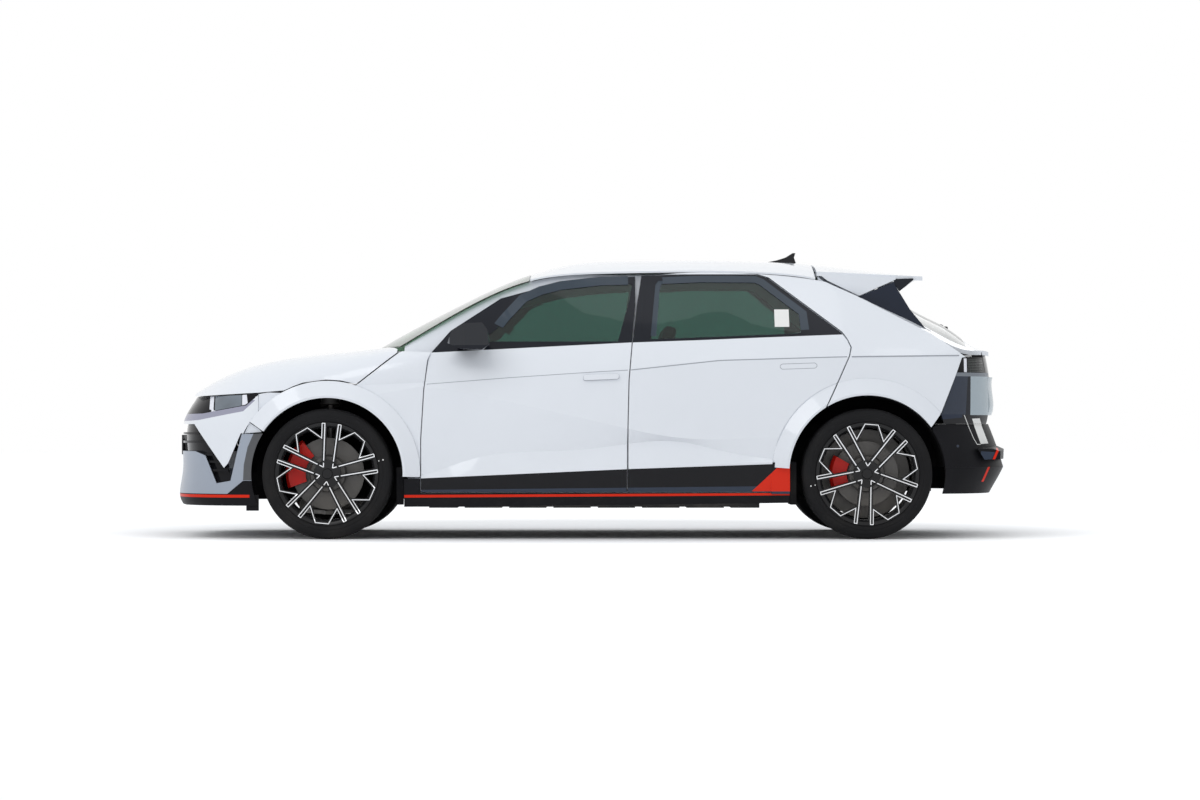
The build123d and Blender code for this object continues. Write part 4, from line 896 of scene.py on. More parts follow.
# ------------------------------------------------------------------ wheels
@dataclass
class Wheel:
    """One road wheel: machined lines on the rim, a treaded tyre and its paint marks."""

    end: End
    side: Side
    first_angle: float
    tyre_radius: float = 363.0
    half_width: float = 137.5
    bead_radius: float = 287.5
    pairs: int = 5
    vertex_radius: float = 43.0
    fork_radius: float = 200.0
    tip_radius: float = 281.0
    tip_angle: float = 7.7
    branch_tip_angle: float = 7.6
    branch_radius: float = 277.0
    branch_offset: float = 15.5
    line_width: float = 5.2
    cap_width: float = 4.4
    branch_width: float = 4.2
    tread_blocks: int = 72
    block_depth: float = 8.0
    slants: tuple[float, float, float] = (0.10, 0.22, 0.3)
    block_shares: tuple[float, float, float] = (0.86, 0.8, 0.8)
    centre: Vector = field(init=False)

    def __post_init__(self) -> None:
        """Finds the wheel's centre from its packed tyre."""
        low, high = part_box(f"{self.label}_tyre")
        self.centre = (low + high) / 2

    @property
    def label(self) -> str:
        """The wheel's name in node names."""
        return f"{self.end.value}_{self.side.word}"

    @property
    def body(self) -> str:
        """The body that the wheel's pieces ride on."""
        return f"{self.label}_wheel_body"

    def face(self, r: float, a: float, lift: float = 0.0) -> Vector:
        """Point on the dished front of the rim at radius r and angle a, about the origin."""
        depth = 88 + (r - 70) * 37 / 192 if r < 262 else 125 + (r - 262) * 8.5 / 21
        return Vector((r * math.cos(a), -depth - lift, r * math.sin(a))) * MM

    def line(self, places: Sequence[tuple[float, float]], width: float) -> Shape:
        """Machined line on the rim's front through (x, z) places."""
        path = [self.face(math.hypot(x, z), math.atan2(z, x)) for x, z in fill_open(places, 20.0)]
        return ribbon(path, [Vector((0, -1, 0))] * len(path), width * MM, 0.0009, 0.001)

    def lines(self) -> None:
        """Bright lines of one V, repeated round the wheel."""
        half = 180 / self.pairs - self.tip_angle
        parts = []
        vertex = (self.vertex_radius, 0.0)
        angles = [math.radians(s * half) for s in (-1, 1)]
        tips = [(self.tip_radius * math.cos(a), self.tip_radius * math.sin(a)) for a in angles]
        parts.append(self.line([tips[0], vertex, tips[1]], self.line_width))
        outer = []
        for s, tip in zip((-1, 1), tips):
            run = (tip[0] - vertex[0], tip[1] - vertex[1])
            length = math.hypot(*run)
            across = (run[1] / length * s, -run[0] / length * s)
            share = (self.fork_radius - self.vertex_radius) / (self.tip_radius - self.vertex_radius)
            aside = (across[0] * self.branch_offset, across[1] * self.branch_offset)
            fork = (vertex[0] + run[0] * share + aside[0], vertex[1] + run[1] * share + aside[1])
            head = (tip[0] + aside[0], tip[1] + aside[1])
            a = math.radians(s * self.branch_tip_angle)
            end = (self.branch_radius * math.cos(a), self.branch_radius * math.sin(a))
            outer.append((head, fork, end))
            heel = (tip[0] - across[0] * self.line_width / 2, tip[1] - across[1] * self.line_width / 2)
            parts.append(self.line([heel, head], self.cap_width))
        parts.append(self.line([*outer[0], *reversed(outer[1])], self.branch_width))
        points, faces = mirrored(*joined(parts), self.side)
        start = math.radians(self.first_angle + 180 / self.pairs)
        piece = round_axle(f"{self.label}_rim_lines", (points, faces), self.pairs, start, tuple(self.centre), MACHINED)
        dress(piece, MACHINED, self.body)

    def tyre(self) -> None:
        """Tyre carcass with rim guard, sidewall ribs and three rain grooves."""
        w = self.half_width
        half = [
            (268, 117), (self.bead_radius, 124.5), (293, 131), (301, 133.5), (305, 136.2), (310, 136.4), (313, 134.6),
            (322, 136.4), (330, w - 0.2), (333, w - 1.4), (341, w - 3.2), (349, w - 8), (355, w - 15), (358.5, w - 24),
            (360.6, w - 36), (361.2, 78), (361.6, 66), (354, 64), (354, 52), (361.9, 50), (362, 22), (354, 20),
            (354, 8), (361.9, 6),
        ]
        profile = [(a, -b) for a, b in half] + [(a, b) for a, b in reversed(half)]
        shape = turned(profile, 144, tuple(self.centre))
        piece = mesh_piece(f"{self.label}_tyre_carcass", *shape, smooth=True)
        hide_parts(f"{self.label}_tyre")
        dress(piece, RUBBER, self.body)
        self.sharpen(piece, 32)

    @staticmethod
    def sharpen(piece: bpy.types.Object, degrees: float) -> None:
        """Marks a piece's edges sharp beyond an angle."""
        work = bmesh.new()
        work.from_mesh(piece.data)
        for edge in work.edges:
            if edge.is_manifold and edge.calc_face_angle(0.0) > math.radians(degrees):
                edge.smooth = False
        work.to_mesh(piece.data)
        work.free()

    def tread(self) -> None:
        """Shoulder and centre blocks of the tread, repeated round the tyre."""
        w, r = self.half_width, self.tyre_radius
        pitch = math.tau / self.tread_blocks
        blocks = []
        for sign in (-1, 1):
            rows = (
                ((w - 7, 349.5), (w - 16, 356.2), (w - 26, 360.0), (78, r - 0.2), (68, r)),
                ((50, r), (24, r)),
                ((6, r), (0.5, r)),
            )
            for k, row in enumerate(rows):
                slant, span = self.slants[k], pitch * self.block_shares[k]
                ring = []
                for y, top in row:
                    lean = slant * pitch * (w - y) / 40 * sign
                    for a in (-span / 2 + lean, span / 2 + lean):
                        for level in (top - self.block_depth, top):
                            ring.append((level * math.cos(a) * MM, sign * y * MM, level * math.sin(a) * MM))
                faces = []
                n = len(row)
                for i in range(n - 1):
                    a, b = i * 4, i * 4 + 4
                    for p, q in ((0, 1), (1, 3), (3, 2), (2, 0)):
                        faces.append((a + p, a + q, b + q, b + p))
                faces += [(0, 2, 3, 1), ((n - 1) * 4 + 1, (n - 1) * 4 + 3, (n - 1) * 4 + 2, (n - 1) * 4)]
                if sign > 0:
                    faces = [tuple(reversed(f)) for f in faces]
                blocks.append((ring, faces))
        piece = round_axle(f"{self.label}_tread", joined(blocks), self.tread_blocks, 0.01, tuple(self.centre), RUBBER)
        dress(piece, RUBBER, self.body)

    def marks(self) -> None:
        """Two small factory paint dots on the outer sidewall of the left wheels."""
        if self.side is Side.RIGHT:
            return
        angle = math.radians(14 if self.end is End.FRONT else 192)
        n = 14
        dots = []
        for r, size, y in ((322, 4.0, 137.2), (298, 3.2, 133.8)):
            cx, cz = r * math.cos(angle), r * math.sin(angle)
            turns = [k * math.tau / n for k in range(n)]
            rim = [(cx + size * math.cos(t), -y, cz + size * math.sin(t)) for t in turns]
            back = [(x, y_rim + 2, z) for x, y_rim, z in rim]
            ring = [Vector(p) * MM + self.centre for p in (*rim, *back, (cx, -y - 0.4, cz))]
            faces = [(k, (k + 1) % n, 2 * n) for k in range(n)]
            faces += [(k + n, (k + 1) % n + n, (k + 1) % n, k) for k in range(n)]
            dots.append((ring, [*faces, tuple(range(2 * n - 1, n - 1, -1))]))
        add_piece(f"{self.label}_paint_dots", joined(dots), PAPER, self.body)

    def build(self) -> None:
        """Makes and dresses the wheel."""
        self.lines()
        self.tyre()
        self.tread()
        self.marks()


# ------------------------------------------------------------------ outside details
def place_both(name: str, make: Callable[[Side], Shape], finish: AnyFinish, body: str) -> None:
    """Makes one piece on each side of the car.

    Args:
        name: the pieces' name, ended with the side's word.
        make: gives the points and faces for a side.
        finish: the pieces' finish.
        body: the body they ride on.
    """
    for side in Side:
        add_piece(f"{name}_{side.word}", make(side), finish, body)


@dataclass
class Nose:
    """Lamp blocks, bowls, blank plate and wheel deflectors of the front end."""

    blocks: tuple[Outline, ...] = (
        ((-2148, 706), (-2124, 711), (-2124, 794), (-2148, 793)),
        ((-1957, 744), (-1938, 748), (-1926, 757), (-1932, 803), (-1957, 801)),
    )
    bowl: Outline = ((-2116, 714), (-1960, 742), (-1960, 801), (-2116, 795))
    bar_pitch: float = 58.0
    bar_half_block: float = 21.0
    bar_pairs: int = 7
    bar_z: Span = (738.0, 758.0)
    plate_box: tuple[Place, Place] = ((-2.3655, -0.26, 0.466), (-2.3570, 0.26, 0.578))
    foot_box: tuple[Place, Place] = ((-2.3575, -0.20, 0.490), (-2.3350, 0.20, 0.552))
    flap: SideBox = SideBox((-1.934, -1.912), (0.60, 0.915), (0.158, 0.246))
    flap_edge: SideBox = SideBox((-1.914, -1.864), (0.903, 0.915), (0.158, 0.246), 0.003)
    skin: Skin = field(default_factory=lambda: Skin("headlamps"))

    def lamps(self) -> None:
        """Bright square blocks and the grey bowl between them."""
        for number, outline in enumerate(self.blocks):
            place_both(f"lamp_block_{number}", lambda side, o=outline: laid_patch(o, self.skin.on(side), 1.2),
                       BRIGHT_PLASTIC, "body")
        place_both(
            "lamp_bowl", lambda side: laid_patch(self.bowl, self.skin.on(side), 0.8), LAMP_BOWL, "body")

    def light_bar(self) -> None:
        """Row of small lamp blocks across the light bar."""
        blocks = []
        low_z, high_z = self.bar_z
        for k in range(-self.bar_pairs, self.bar_pairs + 1):
            low, high = k * self.bar_pitch - self.bar_half_block, k * self.bar_pitch + self.bar_half_block
            outline = [(low, low_z), (high, low_z), (high, high_z), (low, high_z)]
            blocks.append(laid_patch(outline, lambda y, z: self.skin.end(y, z, -1), 0.9))
        add_piece("light_bar_blocks", joined(blocks), LAMP_BOWL, "body")

    def plate(self) -> None:
        """Blank black plate held in front of the grille, and its foot."""
        add_piece("front_plate", box_shape(*self.plate_box, 0.002), PLATE, "body")
        add_piece("front_plate_foot", box_shape(*self.foot_box, 0.003), PLATE, "body")

    def deflectors(self) -> None:
        """Low flaps ahead of the front wheels, each with a turned outer edge, clear of the steered tyres."""
        place_both("wheel_deflector", lambda side: joined([self.flap.shape(side), self.flap_edge.shape(side)]),
                   LOWER_BLACK, "body")

    def build(self) -> None:
        """Makes every nose piece."""
        self.lamps()
        self.light_bar()
        self.plate()
        self.deflectors()


@dataclass
class DoorDetails:
    """Handles, cladding ends and wing patches that follow the panels' skins."""

    front_handle: Outline = (
        (-60, 886), (-52, 881), (128, 889), (137, 896), (137, 912), (128, 918), (-52, 913), (-60, 906))
    rear_handle: Outline = (
        (1032, 953), (1044, 944), (1224, 950), (1236, 958), (1236, 970), (1224, 979), (1044, 973), (1032, 965))
    handle_lift: float = 17.0
    gap_width: float = 3.0
    gap_lift: float = 0.4
    cladding_end: Outline = ((983, 252), (1086, 252), (1086, 431), (983, 426))
    cladding_seen_at: Point = (950, 350)
    cladding_depth: float = 0.018
    wing_nose: Outline = ((-1868, 716), (-1862, 712), (-1734, 790), (-1734, 812), (-1812, 815), (-1866, 806))
    wing_nose_y: Span = (0.889, 0.903)
    wing_toe: Outline = ((-1944, 588), (-1848, 596), (-1866, 614), (-1917, 648))
    wing_toe_y: Span = (0.893, 0.908)

    def handles(self, side: Side) -> None:
        """Front handle standing out of its pocket and the flush rear one."""
        for end, outline in ((End.FRONT, self.front_handle), (End.REAR, self.rear_handle)):
            door = f"{end.value}_{side.word}_door"
            loop = laid_ribbon(outline, Skin(door).on(side), self.gap_width, self.gap_lift, closed=True)
            add_piece(f"{end.value}_handle_gap_{side.word}", loop, CREASE_SHADE, f"{door}_body")
        door = f"front_{side.word}_door"
        grip = laid_patch(self.front_handle, Skin(door).on(side), self.handle_lift, cell=20)
        piece = mesh_piece(f"front_handle_{side.word}", *grip)
        bevel = piece.modifiers.new("edge", "BEVEL")
        bevel.width, bevel.segments, bevel.angle_limit = 0.003, 2, math.radians(50)
        dress(piece, PAINT, f"{door}_body")

    def cladding(self, side: Side) -> None:
        """Rear end of the door's lower cladding, up to the wheel arch."""
        place, _ = Skin(f"rear_{side.word}_door_trim").side(*self.cladding_seen_at, side)
        outer = place.y * side.value
        shape = side_plate(self.cladding_end, (outer, outer - self.cladding_depth), side)
        add_piece(f"rear_cladding_end_{side.word}", shape, DOOR_TRIM, f"rear_{side.word}_door_body")

    def wings(self, side: Side) -> None:
        """White fillers between lamp, bumper and arch moulding."""
        for name, outline, depths in (
            ("wing_nose", self.wing_nose, self.wing_nose_y), ("wing_toe", self.wing_toe, self.wing_toe_y)
        ):
            add_piece(f"{name}_{side.word}", side_plate(outline, depths, side), PAINT, "body")

    def build(self) -> None:
        """Makes the details on both sides."""
        for side in Side:
            self.handles(side)
            self.cladding(side)
            self.wings(side)


@dataclass
class Underside:
    """Sill ends and dark inner shields that close the view past the wheels."""

    sill_ends: tuple[tuple[str, SideBox], ...] = (
        ("front", SideBox((-1.098, -1.0575), (0.917, 0.930), (0.192, 0.40))),
        ("rear", SideBox((1.0865, 1.122), (0.700, 0.930), (0.192, 0.43))),
    )
    shields: tuple[tuple[str, SideBox], ...] = (
        ("front", SideBox((-1.96, -1.06), (0.449, 0.455), (0.215, 0.64), 0.002)),
        ("rear", SideBox((1.10, 1.90), (0.594, 0.600), (0.262, 0.64), 0.002)),
    )
    dust_shield: Outline = ((62, 742), (245, 742), (249, 748), (245, 745.5), (62, 745.5))
    rear_axle: Place = (1.516, 0.0, 0.363)

    def build(self) -> None:
        """Makes the sheet steel shields behind the rear discs, then the sill ends and the felt shields."""
        def dust(side: Side) -> Shape:
            return turned([(r, side.value * y) for r, y in self.dust_shield], 64, self.rear_axle)
        place_both("rear_dust_shield", dust, IRON, "body")
        for name, box in self.sill_ends:
            place_both(f"{name}_sill_end", box.shape, LINER_FELT, "body")
        for name, box in self.shields:
            place_both(f"{name}_inner_shield", box.shape, LINER_FELT, "body")


@dataclass
class Tail:
    """Lamp bars and ribs, bumper edging, plate, sensors and the rear wiper."""

    bar: Outline = ((2062, 929), (2079, 929), (2079, 1006), (2062, 1006))
    rib_x: Span = (2086, 2205)
    rib_z: float = 935
    rib_pitch: float = 9.0
    ribs: int = 8
    edge_line: Outline = ((2062, 689), (2118, 560), (2139, 526), (2160, 526))
    strip: Outline = ((2162, 528), (2212, 531), (2158, 672), (2110, 670))
    sensor_at: Point = (2022, 517)
    sensor_radius: float = 8
    blank_plate: Outline = ((-260, 552), (260, 552), (260, 660), (-260, 660))
    wiper_cover: tuple[Place, Place] = ((2.000, -0.040, 1.168), (2.052, 0.040, 1.206))
    ledge: Outline = ((-90, 440), (-3, 444), (-1, 501), (-45, 521), (-130, 521))
    spoiler_corner: Outline = ((1696, 1428), (1724, 1390), (1800, 1452), (1800, 1462), (1690, 1458))
    spoiler_corner_y: Span = (0.560, 0.5965)
    lamp_skin: Skin = field(default_factory=lambda: Skin("tail_lamps"))
    bumper_skin: Skin = field(default_factory=lambda: Skin("rear_bumper", "rear_diffuser", "rear_corners"))

    def lamps(self) -> None:
        """Upright light bar and level ribs of each lamp."""
        place_both("tail_lamp_bar", lambda side: laid_patch(self.bar, self.lamp_skin.on(side), 1.0),
                   BRIGHT_PLASTIC, "body")

        def ribs(side: Side) -> Shape:
            levels = [self.rib_z + self.rib_pitch * k for k in range(self.ribs)]
            return joined([
                laid_ribbon([(x, z) for x in self.rib_x], self.lamp_skin.on(side), 3.0, 1.4) for z in levels
            ])
        place_both("tail_lamp_ribs", ribs, LAMP_RIB, "body")

    def bumper(self) -> None:
        """Pale edge line, plate edge and sensor of the rear bumper."""
        skin, (x, z), radius = self.bumper_skin, self.sensor_at, self.sensor_radius
        turns = [k * math.tau / 12 for k in range(12)]
        sensor = [(x + radius * math.cos(t), z + radius * math.sin(t)) for t in turns]
        place_both("bumper_edge", lambda side: laid_ribbon(self.edge_line, skin.on(side), 4.0, 0.8), PAPER, "body")
        place_both("bumper_strip", lambda side: laid_patch(self.strip, skin.on(side), 0.8), PAPER, "body")
        place_both("parking_sensor", lambda side: laid_patch(sensor, skin.on(side), 0.8, cell=8),
                   CORNER_GREY, "body")

    def plate(self) -> None:
        """Blank plate on the bumper."""
        shape = laid_patch(self.blank_plate, lambda y, z: self.bumper_skin.end(y, z, 1), 4.0, cell=40)
        add_piece("rear_plate", shape, PAPER, "body")

    def wiper(self) -> None:
        """Rear wiper: pivot cover, arm and blade on the tailgate glass."""
        skin = Skin("rear_window", "tailgate")
        add_piece(
            "rear_wiper_cover", box_shape(*self.wiper_cover, 0.010), LOWER_BLACK, "tailgate_body")
        arm = laid_ribbon([(2020, 20), (1985, 260), (1960, 430)], skin.top, 14.0, 9.0)
        blade = laid_ribbon([(1990, 60), (1965, 300), (1945, 500)], skin.top, 9.0, 5.0)
        add_piece("rear_wiper_arm", joined([arm, blade]), LOWER_BLACK, "tailgate_body")

    def shelf(self) -> None:
        """Shelf that stands out from the top of the diffuser."""
        skin = Skin("rear_diffuser")
        points, faces = [], []
        places = [k * 0.040 for k in range(-21, 22)]
        for y in places:
            edge, _ = skin.end(y * 1000, 444, 1)
            shrink = 1 - 0.25 * (abs(y) / 0.84) ** 4
            points += [(edge.x + dx * MM, y, 0.447 + (z - 447) * MM * shrink) for dx, z in self.ledge]
        n = len(self.ledge)
        for k in range(len(places) - 1):
            faces += [(k * n + i, k * n + (i + 1) % n, (k + 1) * n + (i + 1) % n, (k + 1) * n + i) for i in range(n)]
        faces += [tuple(range(n)), tuple(range(len(points) - 1, len(points) - n - 1, -1))]
        add_piece("diffuser_shelf", (points, faces), DIFFUSER_BLACK, "body")

    def spoiler_corners(self) -> None:
        """Dark corner pieces between the fins and the spoiler's tips."""
        place_both("spoiler_corner", lambda side: side_plate(self.spoiler_corner, self.spoiler_corner_y, side),
                   DOOR_TRIM, "tailgate_body")

    def build(self) -> None:
        """Makes every tail piece."""
        self.spoiler_corners()
        self.shelf()
        self.lamps()
        self.bumper()
        self.plate()
        self.wiper()


@dataclass
class Glazing:
    """Glass edges over the inner trim and the blank paper label."""

    front_edge: Outline = (
        (-535, 1190), (-500, 1235), (-400, 1345), (-300, 1390), (-186, 1419), (32, 1444), (190, 1448))
    front_width: float = 58.0
    rear_edge: Outline = (
        (322, 1130), (345, 1400), (362, 1446), (600, 1456), (905, 1454), (940, 1440), (1165, 1262), (1175, 1165))
    rear_width: float = 46.0
    label: Outline = ((1007, 1182), (1088, 1182), (1088, 1281), (1007, 1281))
    lift: float = 0.5

    def edges(self) -> None:
        """Glossy blue-grey bands round the see-through panes."""
        for end, places, width in (
            (End.FRONT, self.front_edge, self.front_width), (End.REAR, self.rear_edge, self.rear_width)
        ):
            for side in Side:
                door = f"{end.value}_{side.word}_door"
                shape = laid_ribbon(places, Skin(f"{door}_trim", f"{door}_glass").on(side), width, self.lift)
                add_piece(f"{end.value}_glass_edge_{side.word}", shape, GLASS_EDGE, f"{door}_body")

    def paper(self) -> None:
        """Blank paper label on the rear left pane."""
        shape = laid_patch(self.label, Skin("rear_left_door_glass").on(Side.LEFT), self.lift)
        add_piece("paper_label", shape, PAPER, "rear_left_door_body")

    def build(self) -> None:
        """Makes the glazing's pieces."""
        self.edges()
        self.paper()


@dataclass
class PaintedShoulderShade:
    """Painted shade line along the shoulder crease of doors and quarters."""

    line: Outline = ((-935, 861), (-462, 898), (32, 931), (204, 940), (697, 993), (1380, 1013), (2034, 1021))
    pitch: float = 60.0

    def height(self, x: float) -> float:
        """Height of the crease at x."""
        return float(np.interp(x, [p[0] for p in self.line], [p[1] for p in self.line]))

    def lay(self, node: str, body: str, span: Span, width: float, lift: float, side: Side) -> None:
        """Lays the painted shade line on one panel.

        Args:
            node: the panel's node.
            body: the body it rides on.
            span: where the line starts and ends along x.
            width: the line's width.
            lift: height of the line's face above the panel.
            side: side of the car.
        """
        count = max(2, round((span[1] - span[0]) / self.pitch))
        xs = [span[0] + (span[1] - span[0]) * k / count for k in range(count + 1)]
        # The ribbon is painted shade under the shoulder crease.
        shape = laid_ribbon([(x, self.height(x)) for x in xs], Skin(node).on(side), width, lift, step=30.0)
        name = node if side.word in node else f"{node}_{side.word}"
        add_piece(f"shoulder_line_{name}", shape, CREASE_SHADE, body)

    def build(self) -> None:
        """Lays the line on both sides."""
        for side in Side:
            front, rear = (f"{end.value}_{side.word}_door" for end in End)
            self.lay(front, f"{front}_body", (-932, 186), 3.5, 0.35, side)
            self.lay(rear, f"{rear}_body", (204, 1404), 5.5, 0.35, side)
            self.lay("body_sides", "body", (1430, 2030), 7.0, 1.2, side)


# ------------------------------------------------------------------ cabin
def pad_shape(
    centre: Place, half: Place, tilt: float, crown: float, channels: Sequence[float], bolster: float = 0.0,
    cuts: int = 16
) -> Shape:
    """Crowned cushion with rounded edges, pulled-in sides and sewn channels.

    Args:
        centre: middle of the cushion in metres.
        half: half sizes along its length, width and thickness.
        tilt: turn about Y in degrees that stands the cushion up.
        crown: swell of its face as a share of its thickness.
        channels: places of the seams along its length, from -1 to 1.
        bolster: extra height of its two long edges as a share of its thickness.
        cuts: grid cuts along each edge.
    Returns:
        Points and faces.
    """
    work = bmesh.new()
    bmesh.ops.create_cube(work, size=2.0)
    bmesh.ops.subdivide_edges(work, edges=list(work.edges), cuts=cuts, use_grid_fill=True)
    cos, sin = math.cos(math.radians(tilt)), math.sin(math.radians(tilt))
    for v in work.verts:
        u, w, t = v.co
        rim = max(abs(u), abs(w))
        rounding = 1 - 0.34 * max(0.0, (rim - 0.72) / 0.28) ** 2
        pull = 1 - 0.035 * (1 - w * w) * (abs(u) > 0.99)
        side_pull = 1 - 0.03 * (1 - u * u) * (abs(w) > 0.99)
        height = t * rounding
        if t > 0:
            edge = math.exp(-((abs(w) - 0.82) / 0.13) ** 2) * (1 - 0.5 * u * u)
            height += crown * (1 - u * u) * (1 - w * w) + bolster * edge
            height -= sum(0.16 * math.exp(-((u - c) / 0.028) ** 2) for c in channels) * (abs(w) < 0.68)
        bulge = 1 + 0.02 * (1 - t * t)
        x, y, z = u * half[0] * pull * bulge, w * half[1] * side_pull * bulge, height * half[2]
        v.co = (centre[0] + x * cos - z * sin, centre[1] + y, centre[2] + x * sin + z * cos)
    bmesh.ops.recalc_face_normals(work, faces=list(work.faces))
    return taken(work)


@dataclass(frozen=True)
class Pad:
    """Sizes of one cushion, as pad_shape takes them, and a softness share, fill, that is not used."""

    name: str
    node: str
    centre: Place
    half: Place
    tilt: float
    crown: float
    channels: tuple[float, ...]
    bolster: float = 0.0
    fill: float = 0.6

    def build(self, y: float = 0.0, ending: str = "") -> None:
        """Makes the cushion that stands for a seat node, at a distance from the centre plane."""
        centre = (self.centre[0], self.centre[1] + y, self.centre[2])
        shape = pad_shape(centre, self.half, self.tilt, self.crown, self.channels, self.bolster)
        piece = mesh_piece(self.name + ending, *shape, smooth=True)
        subdivide = piece.modifiers.new("soft", "SUBSURF")
        subdivide.levels = subdivide.render_levels = 1
        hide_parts(self.node)
        dress(piece, CLOTH, "body")


@dataclass
class Cabin:
    """Padded seats, their runners and posts, and the screens on the dashboard."""

    seat_y: tuple[float, float] = (-0.37, 0.37)
    seat_pads: tuple[Pad, ...] = (
        Pad(
            "seat_cushion", "front_seats", (-0.070, 0.0, 0.410), (0.250, 0.245, 0.062), -3, 0.25, (-0.35, 0.1, 0.5),
            0.35
        ),
        Pad("seat_back", "front_seats", (0.290, 0.0, 0.735), (0.285, 0.235, 0.050), 74, 0.2, (-0.4, 0.0, 0.4), 0.5),
        Pad("head_restraint", "front_seats", (0.418, 0.0, 1.112), (0.080, 0.122, 0.036), 76, 0.3, (), fill=0.7),
    )
    bench_pads: tuple[Pad, ...] = (
        Pad("bench_cushion", "rear_bench", (0.790, 0.0, 0.400), (0.185, 0.605, 0.075), 0, 0.25, (-0.3, 0.3)),
        Pad("bench_back", "rear_bench", (1.085, 0.0, 0.780), (0.290, 0.545, 0.048), 73, 0.25, (-0.4, 0.0, 0.4)),
    )
    display: tuple[Place, Place] = ((-0.760, -0.620, 0.975), (-0.742, 0.060, 1.085))
    vent_y: tuple[float, ...] = (-0.66, 0.10, 0.53)
    vent_z: tuple[float, ...] = (0.885, 0.899, 0.913)

    def seat_irons(self, number: int, y: float) -> None:
        """Runners and head restraint posts of one front seat."""
        middles = [(y + s * 0.19, y + s * 0.05) for s in (-1, 1)]
        runners = joined([box_shape((-0.25, a - 0.02, 0.296), (0.15, a + 0.02, 0.352), 0.004) for a, _ in middles])
        add_piece(f"seat_runners_{number}", runners, SOFT_TRIM, "body")
        posts = joined([box_shape((0.372, b - 0.005, 1.000), (0.382, b + 0.005, 1.060), 0.002) for _, b in middles])
        add_piece(f"restraint_posts_{number}", posts, STEEL, "body")

    def screens(self) -> None:
        """Twin display panel and air vents on the dashboard."""
        add_piece("display_panel", box_shape(*self.display, 0.004), GLOSS_BLACK, "body")
        slats = [
            box_shape((-0.652, y, z), (-0.634, y + 0.13, z + 0.004), 0.001) for y in self.vent_y for z in self.vent_z
        ]
        add_piece("air_vents", joined(slats), GLOSS_BLACK, "body")

    def build(self) -> None:
        """Makes the cabin's pieces."""
        for number, y in enumerate(self.seat_y):
            for pad in self.seat_pads:
                pad.build(y, f"_{number}")
            self.seat_irons(number, y)
        for pad in self.bench_pads:
            pad.build()
        self.screens()


# ------------------------------------------------------------------ CAD nodes
CREASE = {
    "body_sides": 5.0, "front_wings": 5.0, "bonnet": 14.0, "roof_panel": 14.0, "windscreen": 20.0, "rear_window": 20.0
}


@dataclass
class PackedNodes:
    """Finishes and smooth shading for the nodes that stay as they are."""

    plain: dict[str, AnyFinish] = field(default_factory=lambda: {
        "body_frame": FRAME_PAINT, "body_sides": PAINT, "front_wings": PAINT, "bonnet": PAINT, "roof_panel": ROOF_PAINT,
        "windscreen": SCREEN_GLASS, "front_bumper": NOSE_PAINT, "front_mask": SATIN_GREY, "front_grille": GLOSS_BLACK,
        "front_splitter": SPLITTER_BLACK, "headlamps": GLOSS_BLACK, "rear_bumper": BUMPER_BLACK,
        "rear_corners": CORNER_GREY,
        "rear_diffuser": DIFFUSER_BLACK, "tail_lamps": GLOSS_BLACK, "side_skirts": SKIRT_BLACK, "floor_pan": CARPET,
        "battery_pack": TRAY, "wheel_liners": LINER_FELT, "drive_units": ALLOY, "suspension": IRON,
        "rear_calipers": CALIPER, "dashboard": SOFT_TRIM, "front_seats": CLOTH, "rear_bench": CLOTH,
        "cowl_panel": LOWER_BLACK,
        "front_structure": FRAME_PAINT, "tailgate": TAILGATE_PAINT, "rear_window": REAR_GLASS,
        "tailgate_spoiler": PAINT,
        "tail_bar": GLOSS_BLACK, "steering_wheel": LEATHER,
    })

    def finish_of(self, node: str) -> AnyFinish:
        """The finish that a node wears."""
        if node in self.plain:
            return self.plain[node]
        for ending, finish in (
            ("_door", PAINT), ("_door_trim", DOOR_TRIM), (
                "_door_glass", SIDE_GLASS
            ), ("_knuckle", IRON), ("_caliper", CALIPER),
            ("_wheel", BLACK_RIM), ("_tyre", RUBBER), ("_disc", IRON),
        ):
            if node.endswith(ending):
                return finish
        return LOWER_BLACK

    def build(self) -> None:
        """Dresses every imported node."""
        for name, piece in sorted(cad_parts.items()):
            piece.data.materials.clear()
            piece.data.materials.append(self.finish_of(name).build())
            crease = CREASE.get(name, 6.0 if name.endswith(("_door", "_trim")) else 26.0)
            soften(piece, crease)
            log.info("node %s, %s", name, self.finish_of(name).name)


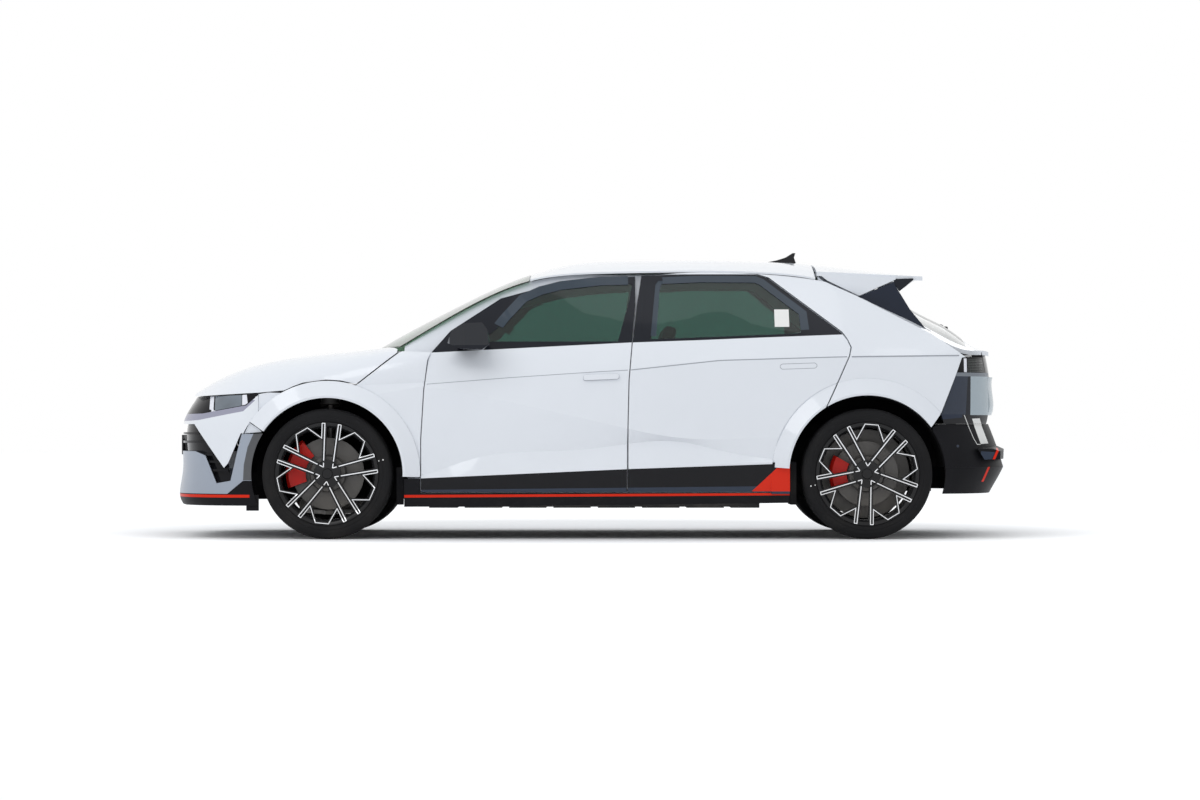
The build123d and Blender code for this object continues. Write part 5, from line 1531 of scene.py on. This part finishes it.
# ------------------------------------------------------------------ stage
@dataclass
class Stage:
    """Pale floor with a painted shadow round the car, soft light and the camera."""

    eye: Place = (-0.024, -20.93, 0.64)
    lens: float = 108.1
    shift: Point = (10 / 1200, 24 / 1200)
    horizon_light: float = 0.62
    sky_light: float = 0.86
    floor_lift: float = 0.28
    floor_half: float = 60.0
    painted_shadow_centre_y: float = 0.9
    painted_shadow_radii: Point = (2.7, 2.4)
    painted_shadow_edge: Span = (0.55, 1.5)
    lamps: tuple[tuple[str, Place, float, float], ...] = (
        ("key lamp", (-4.5, -7.0, 6.5), 6.0, 150.0),
        ("top lamp", (0.5, 0.0, 7.5), 7.0, 50.0),
        ("back lamp", (5.5, 6.5, 5.0), 6.0, 60.0),
    )

    def camera(self) -> None:
        """Places the camera level with the door, square to the left side."""
        data = bpy.data.cameras.new("camera")
        data.lens = self.lens
        data.sensor_width = 36.0
        data.shift_x, data.shift_y = self.shift
        data.clip_end = 200.0
        eye = bpy.data.objects.new("camera", data)
        eye.location = self.eye
        eye.rotation_euler = (math.radians(90), 0, 0)
        bpy.context.scene.collection.objects.link(eye)
        bpy.context.scene.camera = eye

    def lamp(self, name: str, place: Place, size: float, power: float) -> None:
        """Adds a large soft lamp aimed at the middle of the car."""
        data = bpy.data.lights.new(name, "AREA")
        data.shape = "RECTANGLE"
        data.size, data.size_y = size, size * 0.6
        data.energy = power
        lamp = bpy.data.objects.new(name, data)
        lamp.location = place
        lamp.rotation_euler = (Vector((0, 0, 0.6)) - Vector(place)).to_track_quat("-Z", "Y").to_euler()
        bpy.context.scene.collection.objects.link(lamp)

    def floor(self) -> None:
        """Adds the pale floor, left darker in an ellipse round and behind the car as a painted shadow."""
        size = self.floor_half
        floor = mesh_piece(
            "floor", [(-size, -size, 0), (size, -size, 0), (size, size, 0), (-size, size, 0)], [(0, 1, 2, 3)])
        material = bpy.data.materials.new("pale floor")
        material.use_nodes = True
        tree = Tree(material.node_tree)
        shader = material.node_tree.nodes["Principled BSDF"]
        where = tree.add("ShaderNodeTexCoord").outputs["Object"]
        grain = tree.group(GROUPS["grain"], Vector=where, Scale=60.0, Mottle_Scale=0.7)
        tree.feed(
            shader.inputs["Base Color"],
            tree.mix(grain.outputs["Mottle"], (0.93, 0.93, 0.935, 1), (0.95, 0.95, 0.955, 1)))
        shader.inputs["Roughness"].default_value = 0.9
        shader.inputs["Specular IOR Level"].default_value = 0.1
        shader.inputs["Emission Color"].default_value = (1.0, 1.0, 1.0, 1)
        seen = tree.seen()
        # The camera-ray lift is held back inside an ellipse round and behind the car, which paints a shadow on the
        # floor.
        parts = tree.add("ShaderNodeSeparateXYZ")
        tree.feed(parts.inputs[0], where)
        along = tree.math(
            "POWER", tree.math("ABSOLUTE", tree.math("DIVIDE", parts.outputs["X"], self.painted_shadow_radii[0])), 2.0)
        across = tree.math(
            "POWER",
            tree.math(
                "ABSOLUTE",
                tree.math("DIVIDE", tree.math("SUBTRACT", parts.outputs["Y"], self.painted_shadow_centre_y), self.painted_shadow_radii[1])
            ),
            2.0)
        away = tree.step(tree.math("ADD", along, across), *self.painted_shadow_edge)
        tree.feed(
            shader.inputs["Emission Strength"],
            tree.math("MULTIPLY", tree.math("MULTIPLY", seen, away), self.floor_lift))
        floor.data.materials.append(material)

    def world(self) -> None:
        """Even soft light from all round, white where the camera sees it."""
        world = bpy.data.worlds.new("studio")
        bpy.context.scene.world = world
        world.use_nodes = True
        tree = Tree(world.node_tree)
        back = world.node_tree.nodes["Background"]
        seen = tree.seen()
        parts = tree.add("ShaderNodeSeparateXYZ")
        tree.feed(parts.inputs[0], tree.add("ShaderNodeTexCoord").outputs["Generated"])
        glow = tree.math(
            "ADD", self.horizon_light,
            tree.math("MULTIPLY", tree.step(parts.outputs["Z"], 0.0, 0.9), self.sky_light - self.horizon_light))
        lit = tree.math("MULTIPLY", glow, tree.math("SUBTRACT", 1.0, seen))
        tree.feed(back.inputs["Color"], tree.mix(seen, (0.95, 0.975, 1.0, 1), (1.0, 1.0, 1.0, 1)))
        tree.feed(back.inputs["Strength"], tree.math("ADD", lit, seen))

    def build(self) -> None:
        """Makes the whole stage."""
        self.camera()
        self.floor()
        self.world()
        for lamp in self.lamps:
            self.lamp(*lamp)
        bpy.context.scene.view_settings.view_transform = "Standard"


def main() -> None:
    """Builds the stage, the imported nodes' finishes and every added piece."""
    Stage().build()
    PackedNodes().build()
    for end, first_angle in ((End.FRONT, 84.3), (End.REAR, 49.4)):
        for side in Side:
            Wheel(end, side, first_angle).build()
    Nose().build()
    DoorDetails().build()
    Underside().build()
    Tail().build()
    Glazing().build()
    PaintedShoulderShade().build()
    Cabin().build()


if __name__ == "__main__":
    main()
